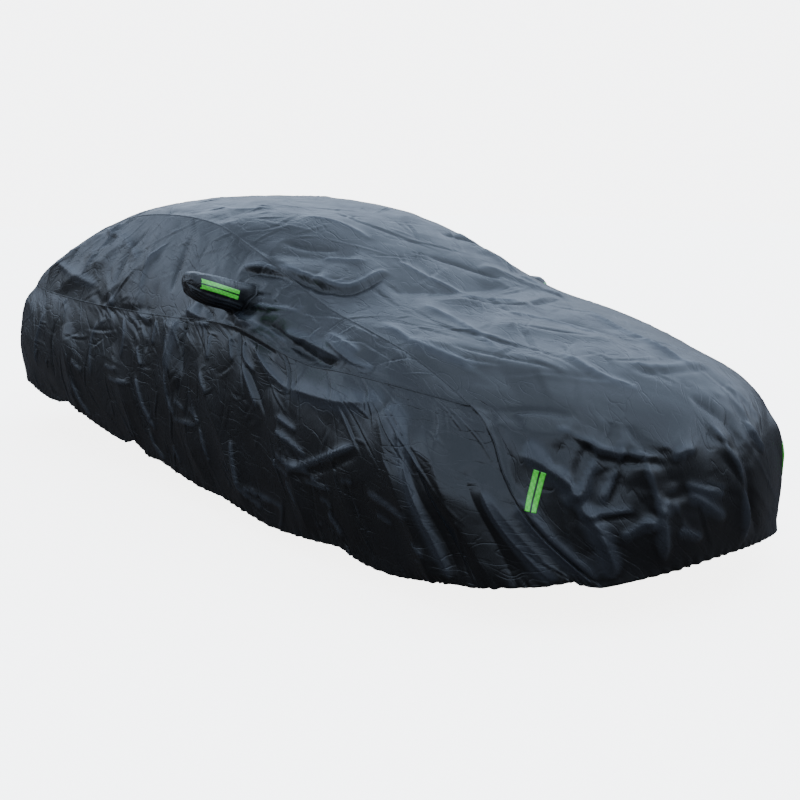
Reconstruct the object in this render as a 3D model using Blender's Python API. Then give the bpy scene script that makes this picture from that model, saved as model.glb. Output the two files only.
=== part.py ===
"""Fitted car cover: a hollow draped shell of thin cloth, long and low, with a sloping tail.

Metres, +Z up. The cover's front faces -Y and its right side is at -X. The tables give
heights above a base level 0.09 m under the lowest hem, and distances along the cover from
its middle; every piece is then placed from HOLD_POINT, the point on the inside, under the
top, where the cover is held up.
"""
import bpy
import numpy as np
from mathutils import Vector
from mathutils.bvhtree import BVHTree

CLOTH = 0.0020            # thickness of the cloth
SEAM_GAP = 0.0004         # gap between two panels along a seam
STRIP_THICKNESS = 0.0012  # reflective strip
STRIP_WIDTH = 0.042
TIP_WIDTH = 0.004         # width of an upper side panel at its two pointed ends
HOLD_POINT = np.array([0.0, 0.45, 1.431])

LENGTH_CELLS = 44         # mesh cells along a side panel
DROP_CELLS = 10           # mesh cells from the seam down to the hem
CROSS_CELLS = 18          # mesh cells across the centre panel
UPPER_CELLS = 7           # mesh cells from the top seam down to the belt seam

# The centre panel from the front hem over the top to the rear hem: its middle line,
# its seam on one side, and how flat it stays between them (crown, an exponent).
CENTRE_ROWS = (
    # y_mid,  z_mid, x_seam, y_seam, z_seam, crown
    (-2.430, 0.190, 0.520, -2.330, 0.160, 2.0),  # front hem
    (-2.465, 0.400, 0.690, -2.180, 0.370, 2.0),  # nose, low
    (-2.440, 0.600, 0.740, -2.085, 0.530, 2.0),  # nose
    (-2.320, 0.765, 0.730, -2.000, 0.665, 2.2),  # nose, upper edge
    (-2.060, 0.870, 0.710, -1.870, 0.750, 2.6),  # front deck, front, where the belt seam starts
    (-1.680, 0.945, 0.695, -1.540, 0.875, 2.8),  # front deck, middle
    (-1.290, 1.010, 0.680, -1.220, 0.950, 2.8),  # front deck, rear
    (-1.000, 1.100, 0.665, -0.930, 1.010, 2.8),  # foot of the front slope
    (-0.680, 1.240, 0.650, -0.570, 1.130, 2.8),  # front slope
    (-0.320, 1.365, 0.620, -0.210, 1.240, 3.0),  # head of the front slope
    (0.120, 1.425, 0.590, 0.120, 1.318, 3.0),  # top, front
    (0.600, 1.435, 0.580, 0.560, 1.348, 3.0),  # top
    (1.080, 1.400, 0.580, 1.020, 1.325, 3.0),  # top, rear
    (1.560, 1.300, 0.600, 1.460, 1.225, 2.8),  # rear slope
    (1.980, 1.155, 0.640, 1.860, 1.075, 2.6),  # tail
    (2.300, 0.965, 0.690, 2.170, 0.895, 2.4),  # tail edge, where the belt seam ends
    (2.460, 0.640, 0.710, 2.340, 0.600, 2.0),  # rear, low
    (2.430, 0.270, 0.640, 2.350, 0.270, 2.0),  # rear hem
)
PLAN_CURVE = 2.5          # how flat the panel stays across, seen from above (an exponent)
FRONT_TIP = 4             # row of CENTRE_ROWS where the belt seam leaves the front seam
REAR_TIP = 15             # row of CENTRE_ROWS where the belt seam meets the rear seam

# One side from the front corner seam to the rear corner seam, as four lines.
SIDE_ROWS = (
    # belt seam x, y, z      shoulder x, y, z        belly x, y, z          hem x, y, z
    (0.714, -1.866, 0.746, 0.735, -2.010, 0.650, 0.730, -2.120, 0.480, 0.520, -2.330, 0.160),
    (0.790, -1.640, 0.780, 0.850, -1.740, 0.670, 0.880, -1.900, 0.470, 0.780, -2.080, 0.150),
    (0.830, -1.360, 0.800, 0.895, -1.420, 0.690, 0.930, -1.540, 0.480, 0.865, -1.700, 0.115),
    (0.860, -0.980, 0.815, 0.910, -1.020, 0.700, 0.935, -1.100, 0.480, 0.895, -1.220, 0.095),
    (0.875, -0.500, 0.905, 0.915, -0.530, 0.750, 0.930, -0.570, 0.480, 0.895, -0.650, 0.090),
    (0.875, 0.000, 0.895, 0.910, -0.010, 0.740, 0.925, -0.030, 0.480, 0.890, -0.070, 0.120),
    (0.870, 0.500, 0.880, 0.905, 0.505, 0.730, 0.925, 0.520, 0.490, 0.890, 0.520, 0.170),
    (0.860, 1.000, 0.875, 0.905, 1.010, 0.730, 0.930, 1.040, 0.510, 0.895, 1.060, 0.215),
    (0.840, 1.480, 0.880, 0.895, 1.500, 0.740, 0.920, 1.530, 0.530, 0.885, 1.560, 0.255),
    (0.808, 1.820, 0.888, 0.868, 1.860, 0.755, 0.898, 1.920, 0.550, 0.865, 1.950, 0.285),
    (0.757, 2.040, 0.892, 0.808, 2.120, 0.765, 0.828, 2.190, 0.555, 0.785, 2.215, 0.285),
    (0.695, 2.165, 0.891, 0.715, 2.280, 0.760, 0.712, 2.340, 0.560, 0.640, 2.350, 0.270),
)
BELT_LINE, HEM_LINE = 0, 3   # the first and last of the four lines
CORNER_REACH = 0.12       # share of a side panel's length over which it turns into a corner seam
UPPER_BULGE = 0.22        # outward swell of an upper side panel, as a share of its width
HEM_WAVE = 0.008          # rise and fall of the elastic hem
HEM_WAVES = 17            # waves along one side

# The main folds, each a soft ridge (or a trough, if its height is negative) along a bent
# line through three points. Width is the distance at which the fold has all but gone.
FOLDS = (
    # start x, y, z        middle x, y, z        end x, y, z          width  height
    (-0.74, -0.30, 1.13, -0.64, -0.60, 1.12, -0.59, -0.80, 1.08, 0.130, 0.024),  # front slope, sag, right
    (-0.59, -0.77, 1.09, -0.50, -0.90, 1.09, -0.28, -0.86, 1.16, 0.130, 0.022),  # front slope, sag, middle
    (-0.60, -0.40, 1.20, -0.50, -0.60, 1.18, -0.34, -0.72, 1.20, 0.150, -0.022),  # hollow above the sag
    (-0.88, -0.50, 0.92, -0.88, -0.78, 0.87, -0.87, -1.06, 0.81, 0.120, 0.018),  # from the mirror gather
    (-0.80, -0.66, 0.99, -0.79, -0.95, 0.94, -0.81, -1.38, 0.84, 0.120, 0.018),  # along the front quarter
    (-0.84, -0.60, 0.93, -0.84, -0.90, 0.88, -0.85, -1.20, 0.80, 0.110, -0.014),  # hollow between them
    (0.38, -0.48, 1.25, 0.41, -0.70, 1.19, 0.44, -0.92, 1.10, 0.120, 0.020),  # front slope, left, upper
    (0.22, -0.88, 1.13, 0.33, -1.05, 1.07, 0.42, -1.28, 1.00, 0.120, 0.018),  # front slope, left, lower
    (-0.30, -1.16, 1.04, 0.00, -1.33, 1.00, 0.38, -1.25, 1.01, 0.140, 0.020),  # foot of the front slope
    (-0.42, -1.02, 1.08, -0.10, -1.10, 1.08, 0.20, -1.08, 1.08, 0.160, -0.020),  # hollow at the foot
    (-0.28, -1.50, 0.97, -0.12, -1.70, 0.94, 0.06, -1.90, 0.90, 0.130, 0.014),  # front deck, middle
    (-0.62, -1.42, 0.92, -0.50, -1.76, 0.88, -0.36, -2.06, 0.84, 0.130, 0.016),  # front deck, right
    (-0.20, -2.10, 0.85, 0.02, -2.17, 0.83, 0.30, -2.15, 0.82, 0.120, 0.014),  # nose, upper edge
    (-0.68, -2.04, 0.69, -0.46, -2.27, 0.63, -0.12, -2.42, 0.61, 0.130, 0.024),  # across the nose
    (-0.50, -2.22, 0.52, -0.30, -2.38, 0.48, -0.10, -2.44, 0.46, 0.140, -0.020),  # hollow below it
    (-0.07, -2.39, 0.70, 0.03, -2.46, 0.50, 0.15, -2.44, 0.20, 0.130, 0.022),  # nose, upright
    (0.42, -2.33, 0.66, 0.50, -2.33, 0.47, 0.54, -2.30, 0.20, 0.130, 0.022),  # nose, upright, left
    (-0.38, -2.38, 0.46, -0.34, -2.40, 0.34, -0.28, -2.40, 0.18, 0.120, 0.018),  # nose, upright, right
    (-0.88, -1.56, 0.70, -0.89, -1.74, 0.40, -0.86, -1.84, 0.11, 0.130, 0.024),  # right front quarter, first
    (-0.84, -1.76, 0.68, -0.83, -1.94, 0.40, -0.76, -2.09, 0.14, 0.120, 0.022),  # right front quarter, second
    (-0.87, -1.68, 0.62, -0.87, -1.84, 0.38, -0.81, -1.97, 0.12, 0.110, -0.018),  # hollow between them
    (-0.80, -1.98, 0.54, -0.72, -2.14, 0.34, -0.60, -2.27, 0.16, 0.120, 0.022),  # right front quarter, third
    (-0.88, 0.07, 0.89, -0.90, 0.02, 0.75, -0.93, -0.06, 0.56, 0.120, 0.020),  # right side, pleat
    (-0.91, -0.26, 0.74, -0.93, -0.46, 0.45, -0.90, -0.64, 0.12, 0.140, 0.018),  # right side, middle
    (-0.91, -0.88, 0.70, -0.93, -1.02, 0.42, -0.90, -1.12, 0.12, 0.140, 0.016),  # right side, front
    (-0.91, 0.66, 0.70, -0.93, 0.52, 0.45, -0.90, 0.42, 0.18, 0.150, 0.016),  # right side, behind middle
    (-0.91, 1.28, 0.74, -0.93, 1.20, 0.50, -0.90, 1.16, 0.24, 0.150, 0.016),  # right side, rear
    (-0.76, 1.80, 0.95, -0.71, 1.52, 1.09, -0.64, 1.24, 1.24, 0.150, 0.022),  # rear quarter, upper
    (-0.82, 1.50, 0.92, -0.78, 1.18, 1.02, -0.70, 0.90, 1.17, 0.140, 0.018),  # rear quarter, lower
    (-0.86, 0.90, 0.90, -0.80, 0.66, 1.02, -0.72, 0.44, 1.16, 0.150, 0.014),  # right upper side, middle
    (0.88, -1.54, 0.70, 0.89, -1.74, 0.40, 0.86, -1.86, 0.12, 0.130, 0.022),  # left front quarter, first
    (0.80, -1.98, 0.54, 0.73, -2.13, 0.34, 0.62, -2.26, 0.16, 0.120, 0.020),  # left quarter, second
    (0.91, 0.20, 0.74, 0.93, 0.05, 0.46, 0.90, -0.08, 0.14, 0.150, 0.018),  # left side, middle
    (0.91, 1.10, 0.74, 0.93, 0.96, 0.48, 0.90, 0.90, 0.20, 0.150, 0.016),  # left side, rear
    (0.80, 1.66, 0.93, 0.75, 1.34, 1.05, 0.68, 1.02, 1.20, 0.150, 0.020),  # left rear quarter
    (0.80, -0.66, 0.98, 0.79, -0.95, 0.93, 0.81, -1.36, 0.84, 0.130, 0.016),  # along left front quarter
    (-0.34, 2.38, 0.82, -0.24, 2.46, 0.56, -0.28, 2.43, 0.28, 0.150, 0.020),  # tail, upright
    (0.26, 2.38, 0.82, 0.34, 2.45, 0.56, 0.28, 2.43, 0.28, 0.150, 0.018),  # tail, upright, left
    (-0.44, 1.28, 1.35, 0.00, 1.46, 1.32, 0.42, 1.30, 1.35, 0.180, 0.014),  # rear slope, across
)
FOLD_STEPS = 8            # straight runs that one fold's bent line is measured along
FOLD_END = 0.22           # share of a fold's length over which it fades at each end

# The mirror pocket, a cap sewn into a hole of the upper side panel.
POCKET_HOLE_Y = (-0.65, -0.37)      # front and rear edge of the hole, on the panel
POCKET_HOLE_ROWS = (2, 6)           # rows of the upper panel's mesh that the hole spans
POCKET_SIDES = 24                   # sides of each ring
POCKET_RINGS = (
    # x_out,  y_mid,  z_mid, y_radius, z_radius, blend from the hole's outline to this oval
    (0.850, -0.500, 1.030, 0.118, 0.078, 0.55),
    (0.920, -0.502, 1.048, 0.104, 0.076, 0.90),
    (0.990, -0.500, 1.072, 0.095, 0.069, 1.00),
    (1.045, -0.497, 1.092, 0.083, 0.057, 1.00),
    (1.075, -0.495, 1.102, 0.062, 0.041, 1.00),
    (1.086, -0.494, 1.106, 0.026, 0.017, 1.00),
)
POCKET_TIP = (1.089, -0.494, 1.107)
POCKET_SQUARENESS = 0.80            # 1 gives plain ovals, less gives fuller corners

# How each pocket hangs: the right one is held out and up, the left one is slack and droops.
POCKET_HANG = {
    # share of its reach, drop at its root, droop and backward sweep per metre outward
    "right": (1.00, 0.000, 0.00, 0.00),
    "left": (0.80, 0.075, 0.35, 0.15),
}

# The strips: where each starts and ends, seen from outside, the way it is laid on from, and
# its gap to the cloth under it, which is wider where the cloth's faces turn more sharply.
POCKET_STRIP = ((1.046, -0.70, 1.112), (0.866, -0.70, 1.046))
POCKET_STRIP_AIM = (0.0, 1.0, 0.0)
POCKET_STRIP_CELLS = 18
POCKET_STRIP_CLEARANCE = 0.0016
CORNER_STRIPS = {
    "right": ((-0.929, -2.506, 0.563), (-0.957, -2.521, 0.430), 0.0009),
    "left": ((0.769, -2.686, 0.530), (0.799, -2.666, 0.400), 0.0016),
}
CORNER_STRIP_AIM = (-0.62, 0.78, 0.0)
CORNER_STRIP_CELLS = 12
STRIP_CELLS_ACROSS = 5

BLACK_CLOTH = ("black_cloth", (0.022, 0.024, 0.029), 0.48)
GREEN_STRIP = ("green_reflective", (0.22, 0.78, 0.08), 0.35)


def along(rows, at):
    """Smooth curve through the rows, read at row numbers: row 0 is 0, the next is 1."""
    rows = np.asarray(rows, float)
    first = np.clip(np.floor(at).astype(int), 0, len(rows) - 2)
    t = (at - first)[:, None]
    padded = np.vstack([2 * rows[0] - rows[1], rows, 2 * rows[-1] - rows[-2]])
    a, b, c, d = (padded[first + shift] for shift in range(4))
    return 0.5 * (2 * b + (c - a) * t + (2 * a - 5 * b + 4 * c - d) * t**2
                  + (3 * b - a - 3 * c + d) * t**3)


def unit(vectors):
    """The vectors at length one."""
    return vectors / (np.linalg.norm(vectors, axis=-1, keepdims=True) + 1e-12)


def centre_grid():
    """Centre panel: across each row, y and z fall from the middle line to the seam."""
    last = len(CENTRE_ROWS) - 1
    places = np.concatenate([
        np.linspace(0, FRONT_TIP, DROP_CELLS + 1)[:-1],
        np.linspace(FRONT_TIP, REAR_TIP, LENGTH_CELLS + 1),
        np.linspace(REAR_TIP, last, DROP_CELLS + 1)[1:]])
    columns = along(CENTRE_ROWS, places).T[:, :, None]
    y_mid, z_mid, x_seam, y_seam, z_seam, crown = columns
    side = np.linspace(-1, 1, CROSS_CELLS + 1)[None, :]
    return np.stack([x_seam * side,
                     y_mid + (y_seam - y_mid) * np.abs(side)**PLAN_CURVE,
                     z_mid + (z_seam - z_mid) * np.abs(side)**crown], axis=-1)


def side_lines():
    """The belt, shoulder, belly and hem lines of the left side, front to rear."""
    places = np.linspace(0, len(SIDE_ROWS) - 1, LENGTH_CELLS + 1)
    return along(SIDE_ROWS, places).reshape(LENGTH_CELLS + 1, 4, 3)


def upper_grid(seam):
    """Upper side panel: straight from top seam to belt seam, swelled outward between them."""
    top = seam[DROP_CELLS:DROP_CELLS + LENGTH_CELLS + 1]
    belt = side_lines()[:, BELT_LINE].copy()
    belt[0] = top[0] + TIP_WIDTH * unit(belt[1] - top[1])
    belt[-1] = top[-1] + TIP_WIDTH * unit(belt[-2] - top[-2])
    across = np.linspace(0, 1, UPPER_CELLS + 1)[None, :, None]
    outward = unit(np.cross(belt - top, np.gradient(top, axis=0)))
    outward *= np.sign(outward[:, :1])
    swell = UPPER_BULGE * np.linalg.norm(belt - top, axis=1)[:, None, None]
    flat = top[:, None] + (belt - top)[:, None] * across
    return flat + outward[:, None] * swell * across * (1 - across)


def lower_grid(seam, belt):
    """Lower side panel: a smooth curve down through belt, shoulder, belly and hem.

    Near its ends it turns into the corner seams; its hem rises and falls in small waves.
    """
    lines = side_lines()
    lines[:, BELT_LINE] = belt
    down = np.linspace(0, HEM_LINE, DROP_CELLS + 1)
    grid = np.stack([along(column, down) for column in lines])
    front, rear = seam[DROP_CELLS::-1].copy(), seam[-DROP_CELLS - 1:].copy()
    front[0], rear[0] = belt[0], belt[-1]
    share = np.linspace(0, 1, LENGTH_CELLS + 1)[:, None, None]
    near_front = np.clip(1 - share / CORNER_REACH, 0, 1)**2
    near_rear = np.clip(1 - (1 - share) / CORNER_REACH, 0, 1)**2
    grid = grid + (front - grid[0]) * near_front + (rear - grid[-1]) * near_rear
    fade = np.sin(np.pi * share[:, :, 0])**0.5 * np.linspace(0, 1, DROP_CELLS + 1)**4
    grid[:, :, 2] += HEM_WAVE * np.sin(2 * np.pi * HEM_WAVES * share[:, :, 0]) * fade
    return grid


def fold_relief(points):
    """Sum of the folds at the points: a bell across each fold that fades at its ends."""
    relief = np.zeros(points.shape[:-1])
    for row in FOLDS:
        bends = np.array(row[:9]).reshape(3, 3)
        width, height = row[9:]
        line = along(bends, np.linspace(0, 2, FOLD_STEPS + 1))
        nearest = np.full(relief.shape, np.inf)
        place = np.zeros(relief.shape)
        for step in range(FOLD_STEPS):
            run = line[step + 1] - line[step]
            share = np.clip((points - line[step]) @ run / (run @ run), 0, 1)
            gap = np.linalg.norm(points - line[step] - share[..., None] * run, axis=-1)
            place = np.where(gap < nearest, (step + share) / FOLD_STEPS, place)
            nearest = np.minimum(nearest, gap)
        fade = np.clip(np.minimum(place, 1 - place) / FOLD_END, 0, 1)
        relief += height * np.exp(-(2 * nearest / width)**2) * np.sin(fade * np.pi / 2)
    return relief


def grid_normals(grid, outward):
    """Unit normal at each grid point, on the side that outward says (1 or -1)."""
    return outward * unit(np.cross(np.gradient(grid, axis=0), np.gradient(grid, axis=1)))


def share_normals(*edges):
    """Give edges that meet along one seam the same normals, the mean of theirs."""
    mean = unit(sum(edges))
    for edge in edges:
        edge[:] = mean


def draw_in(grid, along_start=True, along_end=True, across_start=True, across_end=True):
    """Move a grid's seam edges inward by half the seam gap."""
    moved = grid.copy()
    for wanted, edge, inner in ((across_start, np.s_[:, 0], np.s_[:, 1]),
                                (across_end, np.s_[:, -1], np.s_[:, -2]),
                                (along_start, np.s_[0], np.s_[1]),
                                (along_end, np.s_[-1], np.s_[-2])):
        if wanted:
            moved[edge] += unit(grid[inner] - grid[edge]) * SEAM_GAP / 2
    return moved


def turned(faces, flip):
    """The faces, with their corners in reverse order if flip is true."""
    return [tuple(reversed(face)) for face in faces] if flip else faces


def halves(quad):
    """The two triangles of a four-cornered face, split from its first corner."""
    a, b, c, d = quad
    return [(a, b, c), (a, c, d)]


def shell(outer, inner, kept=None):
    """Points and faces of the closed solid between two grids, with a wall at every edge."""
    rows, columns = outer.shape[:2]
    if kept is None:
        kept = np.ones((rows - 1, columns - 1), bool)
    points = np.concatenate([outer.reshape(-1, 3), inner.reshape(-1, 3)])
    shift = rows * columns
    faces = []
    open_edges = set()
    for row, column in np.argwhere(kept):
        a = int(row * columns + column)
        ring = (a, a + columns, a + columns + 1, a + 1)
        faces += halves(ring)
        faces += turned([tuple(corner + shift for corner in half) for half in halves(ring)], True)
        for start, end in zip(ring, ring[1:] + ring[:1]):
            if (end, start) in open_edges:
                open_edges.remove((end, start))
            else:
                open_edges.add((start, end))
    for start, end in sorted(open_edges):
        faces += halves((end, start, start + shift, end + shift))
    return points, faces


def add_piece(name, points, faces, finish):
    """One object from points given above the base level, with its own material."""
    mesh = bpy.data.meshes.new(name)
    used = sorted({corner for face in faces for corner in face})
    number = {corner: place for place, corner in enumerate(used)}
    placed = np.asarray(points)[used] - HOLD_POINT
    mesh.from_pydata([tuple(point) for point in placed.tolist()], [],
                     [tuple(number[corner] for corner in face) for face in faces])
    mesh.shade_smooth()
    piece = bpy.data.objects.new(name, mesh)
    bpy.context.scene.collection.objects.link(piece)
    finish_name, colour, roughness = finish
    material = bpy.data.materials.new(finish_name + "_" + name)
    material.use_nodes = True
    shader = material.node_tree.nodes["Principled BSDF"]
    shader.inputs["Base Color"].default_value = (*colour, 1.0)
    shader.inputs["Roughness"].default_value = roughness
    shader.inputs["Metallic"].default_value = 0.0
    mesh.materials.append(material)
    return piece


def hole_cells(grid):
    """First and last grid column, along the panel, of the mirror pocket's hole."""
    middle = grid[:, UPPER_CELLS // 2, 1]
    return tuple(int(np.argmin(np.abs(middle - edge))) for edge in POCKET_HOLE_Y)


def hole_outline(first, last):
    """Grid places around the hole, in order, as (along, across) pairs."""
    top, bottom = POCKET_HOLE_ROWS
    return ([(place, top) for place in range(first, last)]
            + [(last, row) for row in range(top, bottom)]
            + [(place, bottom) for place in range(last, first, -1)]
            + [(first, row) for row in range(bottom, top, -1)])


def round_hole(grid, outline):
    """Push the hole's edge points onto an oval in the panel's surface."""
    ring = np.array([grid[place] for place in outline])
    middle = ring.mean(axis=0)
    length, depth = np.ptp(ring[:, 1]) / 2, np.ptp(ring[:, 2]) / 2
    for place, point in zip(outline, ring):
        reach = point - middle
        scale = np.hypot(reach[1] / length, reach[2] / depth)
        grid[place] = middle + reach / scale
    return grid


def spread_ring(ring, sides):
    """A closed outline read at even steps along its own straight edges."""
    closed = np.vstack([ring, ring[:1]])
    edges = len(ring)
    at = np.arange(sides) * edges / sides
    first = np.floor(at).astype(int)
    return closed[first] + (closed[first + 1] - closed[first]) * (at - first)[:, None]


def fuller(wave):
    """A cosine or sine raised to less than its first power, which squares an oval up."""
    return np.sign(wave) * np.abs(wave)**POCKET_SQUARENESS


def hung(points, side_name):
    """Places on a pocket as it hangs on that side: drawn in, swept back, lowered, drooping."""
    reach, drop, droop, sweep = POCKET_HANG[side_name]
    root = POCKET_RINGS[0][0]
    placed = np.array(points, float)
    out = (placed[:, 0] - root) * reach
    placed[:, 0] = root + out
    placed[:, 1] += sweep * out
    placed[:, 2] -= drop + droop * out
    return placed


def pocket_piece(name, hole_outer, hole_inner, side_name, mirror):
    """Mirror pocket: rings from the hole in the panel out to a rounded end, open inward."""
    middles = hung([ring[:3] for ring in POCKET_RINGS] + [POCKET_TIP], side_name)
    middle = hole_outer.mean(axis=0)
    angle = np.arctan2((hole_outer - middle)[:, 2], (hole_outer - middle)[:, 1])

    def shrunk(ring, amount):
        """The ring drawn towards its middle by the amount."""
        reach = ring - ring.mean(axis=0)
        return ring - unit(reach) * amount

    rings = [shrunk(hole_inner, SEAM_GAP), shrunk(hole_outer, SEAM_GAP)]
    for (x_out, y_mid, z_mid), (y_radius, z_radius, blend) in zip(
            middles, [ring[3:] for ring in POCKET_RINGS]):
        oval = np.stack([np.full(angle.shape, x_out * mirror),
                         y_mid + y_radius * fuller(np.cos(angle)),
                         z_mid + z_radius * fuller(np.sin(angle))], axis=-1)
        held = rings[1] + (oval.mean(axis=0) - middle)
        rings.append(held * (1 - blend) + oval * blend)
    outer = np.array(rings)
    inner = np.array([shrunk(ring, CLOTH) for ring in rings])
    inner[-1, :, 0] -= CLOTH * mirror
    count, sides = outer.shape[:2]
    tip = middles[-1] * (mirror, 1, 1)
    points = np.concatenate([outer.reshape(-1, 3), inner.reshape(-1, 3),
                             [tip, tip - (CLOTH * mirror, 0, 0)]])
    shift = count * sides
    outer_tip, inner_tip = 2 * shift, 2 * shift + 1
    faces = []
    for side in range(sides):
        after = (side + 1) % sides
        for ring in range(count - 1):
            a, b = ring * sides + side, ring * sides + after
            faces += halves((a, b, b + sides, a + sides))
            faces += halves((a + sides + shift, b + sides + shift, b + shift, a + shift))
        a, b = (count - 1) * sides + side, (count - 1) * sides + after
        faces.append((a, b, outer_tip))
        faces.append((b + shift, a + shift, inner_tip))
        faces += halves((after, side, side + shift, after + shift))
    ring_area = np.cross(outer[2] - middle, np.roll(outer[2], -1, axis=0) - middle).sum(axis=0)
    flip = ring_area[0] * mirror < 0
    return add_piece(name, points, turned(faces, flip), BLACK_CLOTH)


def lay_strip(name, carrier, ends, aim, cells, clearance):
    """Reflective strip laid onto its carrier from outside, following the carrier's faces."""
    carrier_tree = BVHTree.FromPolygons([vertex.co for vertex in carrier.data.vertices],
                                        [tuple(face.vertices) for face in carrier.data.polygons])
    start, end = (np.array(point) - HOLD_POINT for point in ends)
    aim = unit(np.array(aim))
    side = unit(np.cross(aim, end - start))
    lengths = np.linspace(0, 1, cells + 1)
    widths = np.linspace(-0.5, 0.5, STRIP_CELLS_ACROSS + 1) * STRIP_WIDTH
    lower = np.zeros((cells + 1, STRIP_CELLS_ACROSS + 1, 3))
    upper = np.zeros_like(lower)
    for row, share in enumerate(lengths):
        for column, width in enumerate(widths):
            origin = Vector(start + (end - start) * share + side * width)
            point, normal, _, _ = carrier_tree.ray_cast(origin, Vector(aim))
            lower[row, column] = np.array(point + normal * clearance)
            upper[row, column] = np.array(point + normal * (clearance + STRIP_THICKNESS))
    points, faces = shell(upper + HOLD_POINT, lower + HOLD_POINT)
    facing = np.cross(upper[1, 0] - upper[0, 0], upper[0, 1] - upper[0, 0]) @ aim
    return add_piece(name, points, turned(faces, facing > 0), GREEN_STRIP)


def build_cover():
    """All the pieces, the panels first, then what is sewn into and onto them."""
    flat_centre = centre_grid()
    seam = flat_centre[:, -1].copy()
    flat_upper = upper_grid(seam)
    flat_lower = lower_grid(seam, flat_upper[:, -1])
    hole_first, hole_last = hole_cells(flat_upper)
    outline = hole_outline(hole_first, hole_last)
    flat_upper = round_hole(flat_upper, outline)

    # the folds differ from side to side, so each side gets its own grids
    middle = np.s_[DROP_CELLS:DROP_CELLS + LENGTH_CELLS + 1]
    grids, normals = {}, {}
    grids["centre"] = flat_centre
    normals["centre"] = grid_normals(flat_centre, -1)
    for side_name, mirror, edge in (("right", -1, 0), ("left", 1, -1)):
        mirrored = np.array([mirror, 1.0, 1.0])
        grids["upper", side_name] = flat_upper * mirrored
        grids["lower", side_name] = flat_lower * mirrored
        for panel in ("upper", "lower"):
            key = (panel, side_name)
            normals[key] = grid_normals(grids[key], -mirror)
        upper, lower, centre = normals["upper", side_name], normals["lower", side_name], normals["centre"]
        share_normals(centre[middle, edge][1:-1], upper[1:-1, 0])
        share_normals(upper[1:-1, -1], lower[1:-1, 0])
        share_normals(centre[:DROP_CELLS, edge][::-1], lower[0, 1:])
        share_normals(centre[-DROP_CELLS:, edge], lower[-1, 1:])
        for tip, place in ((0, DROP_CELLS), (-1, DROP_CELLS + LENGTH_CELLS)):
            share_normals(centre[place:place + 1, edge], upper[tip, :1],
                          upper[tip, -1:], lower[tip, :1])

    for key, grid in grids.items():
        relief = fold_relief(grid)
        grids[key] = grid + normals[key] * relief[..., None]

    centre = draw_in(grids["centre"], along_start=False, along_end=False)
    inner = centre - normals["centre"] * CLOTH
    points, faces = shell(centre, inner)
    centre_piece = add_piece("centre_panel", points, turned(faces, True), BLACK_CLOTH)

    for side_name, mirror in (("right", -1), ("left", 1)):
        flip = mirror > 0
        grid, normal = grids["upper", side_name], normals["upper", side_name]
        upper = draw_in(grid)
        inner = upper - normal * CLOTH
        kept = np.ones((LENGTH_CELLS, UPPER_CELLS), bool)
        kept[hole_first:hole_last, POCKET_HOLE_ROWS[0]:POCKET_HOLE_ROWS[1]] = False
        points, faces = shell(upper, inner, kept)
        add_piece("upper_side_" + side_name, points, turned(faces, flip), BLACK_CLOTH)
        hole_outer = spread_ring(np.array([upper[place] for place in outline]), POCKET_SIDES)
        hole_inner = spread_ring(np.array([inner[place] for place in outline]), POCKET_SIDES)

        grid, normal = grids["lower", side_name], normals["lower", side_name]
        lower = draw_in(grid, across_end=False)
        points, faces = shell(lower, lower - normal * CLOTH)
        add_piece("lower_side_" + side_name, points, turned(faces, flip), BLACK_CLOTH)

        mirrored = np.array([mirror, 1.0, 1.0])
        pocket = pocket_piece("mirror_pocket_" + side_name, hole_outer, hole_inner, side_name, mirror)
        lay_strip("pocket_strip_" + side_name, pocket, hung(POCKET_STRIP, side_name) * mirrored,
                  POCKET_STRIP_AIM, POCKET_STRIP_CELLS, POCKET_STRIP_CLEARANCE)
        start, end, clearance = CORNER_STRIPS[side_name]
        lay_strip("corner_strip_" + side_name, centre_piece, (start, end),
                  np.array(CORNER_STRIP_AIM) * mirrored, CORNER_STRIP_CELLS, clearance)


for leftover in list(bpy.data.objects):
    bpy.data.objects.remove(leftover, do_unlink=True)
build_cover()
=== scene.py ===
"""The looks of a fitted cover: a hollow shell of thin black coated cloth with green strips.

The file follows the cover as it is sewn: the long centre panel first, then on each side the
upper panel, the mirror pocket and the lower panel, then the seams and the strips. The hem is
turned on each panel's own cloth.
Metres, +Z up, in the frame's own place: front at -Y, right side at -X.
"""
import bpy
import numpy as np
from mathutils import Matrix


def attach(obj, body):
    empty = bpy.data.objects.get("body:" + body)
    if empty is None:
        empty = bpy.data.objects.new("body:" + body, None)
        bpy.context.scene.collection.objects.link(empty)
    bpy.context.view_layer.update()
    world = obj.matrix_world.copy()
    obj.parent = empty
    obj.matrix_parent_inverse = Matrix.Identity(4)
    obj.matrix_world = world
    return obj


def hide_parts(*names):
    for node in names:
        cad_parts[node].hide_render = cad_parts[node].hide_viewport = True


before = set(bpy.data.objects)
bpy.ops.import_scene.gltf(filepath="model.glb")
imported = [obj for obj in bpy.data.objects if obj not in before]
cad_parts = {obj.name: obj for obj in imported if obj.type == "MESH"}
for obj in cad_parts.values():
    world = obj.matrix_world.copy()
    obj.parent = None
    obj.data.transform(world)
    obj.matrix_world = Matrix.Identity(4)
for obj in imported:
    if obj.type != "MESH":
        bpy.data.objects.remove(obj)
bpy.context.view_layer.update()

# ---------------------------------------------------------------------------------------
# The centre panel: one long strip of thin black coated polyester, from the front hem over
# the top to the rear hem. It is cut from one width, sewn along both long edges, and lies
# slack, so it sags in the front slope and keeps the sharp creases of its packing.
# ---------------------------------------------------------------------------------------
HOLD_POINT = np.array([0.0, 0.45, 1.431])   # the tables below are heights above a base level

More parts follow.
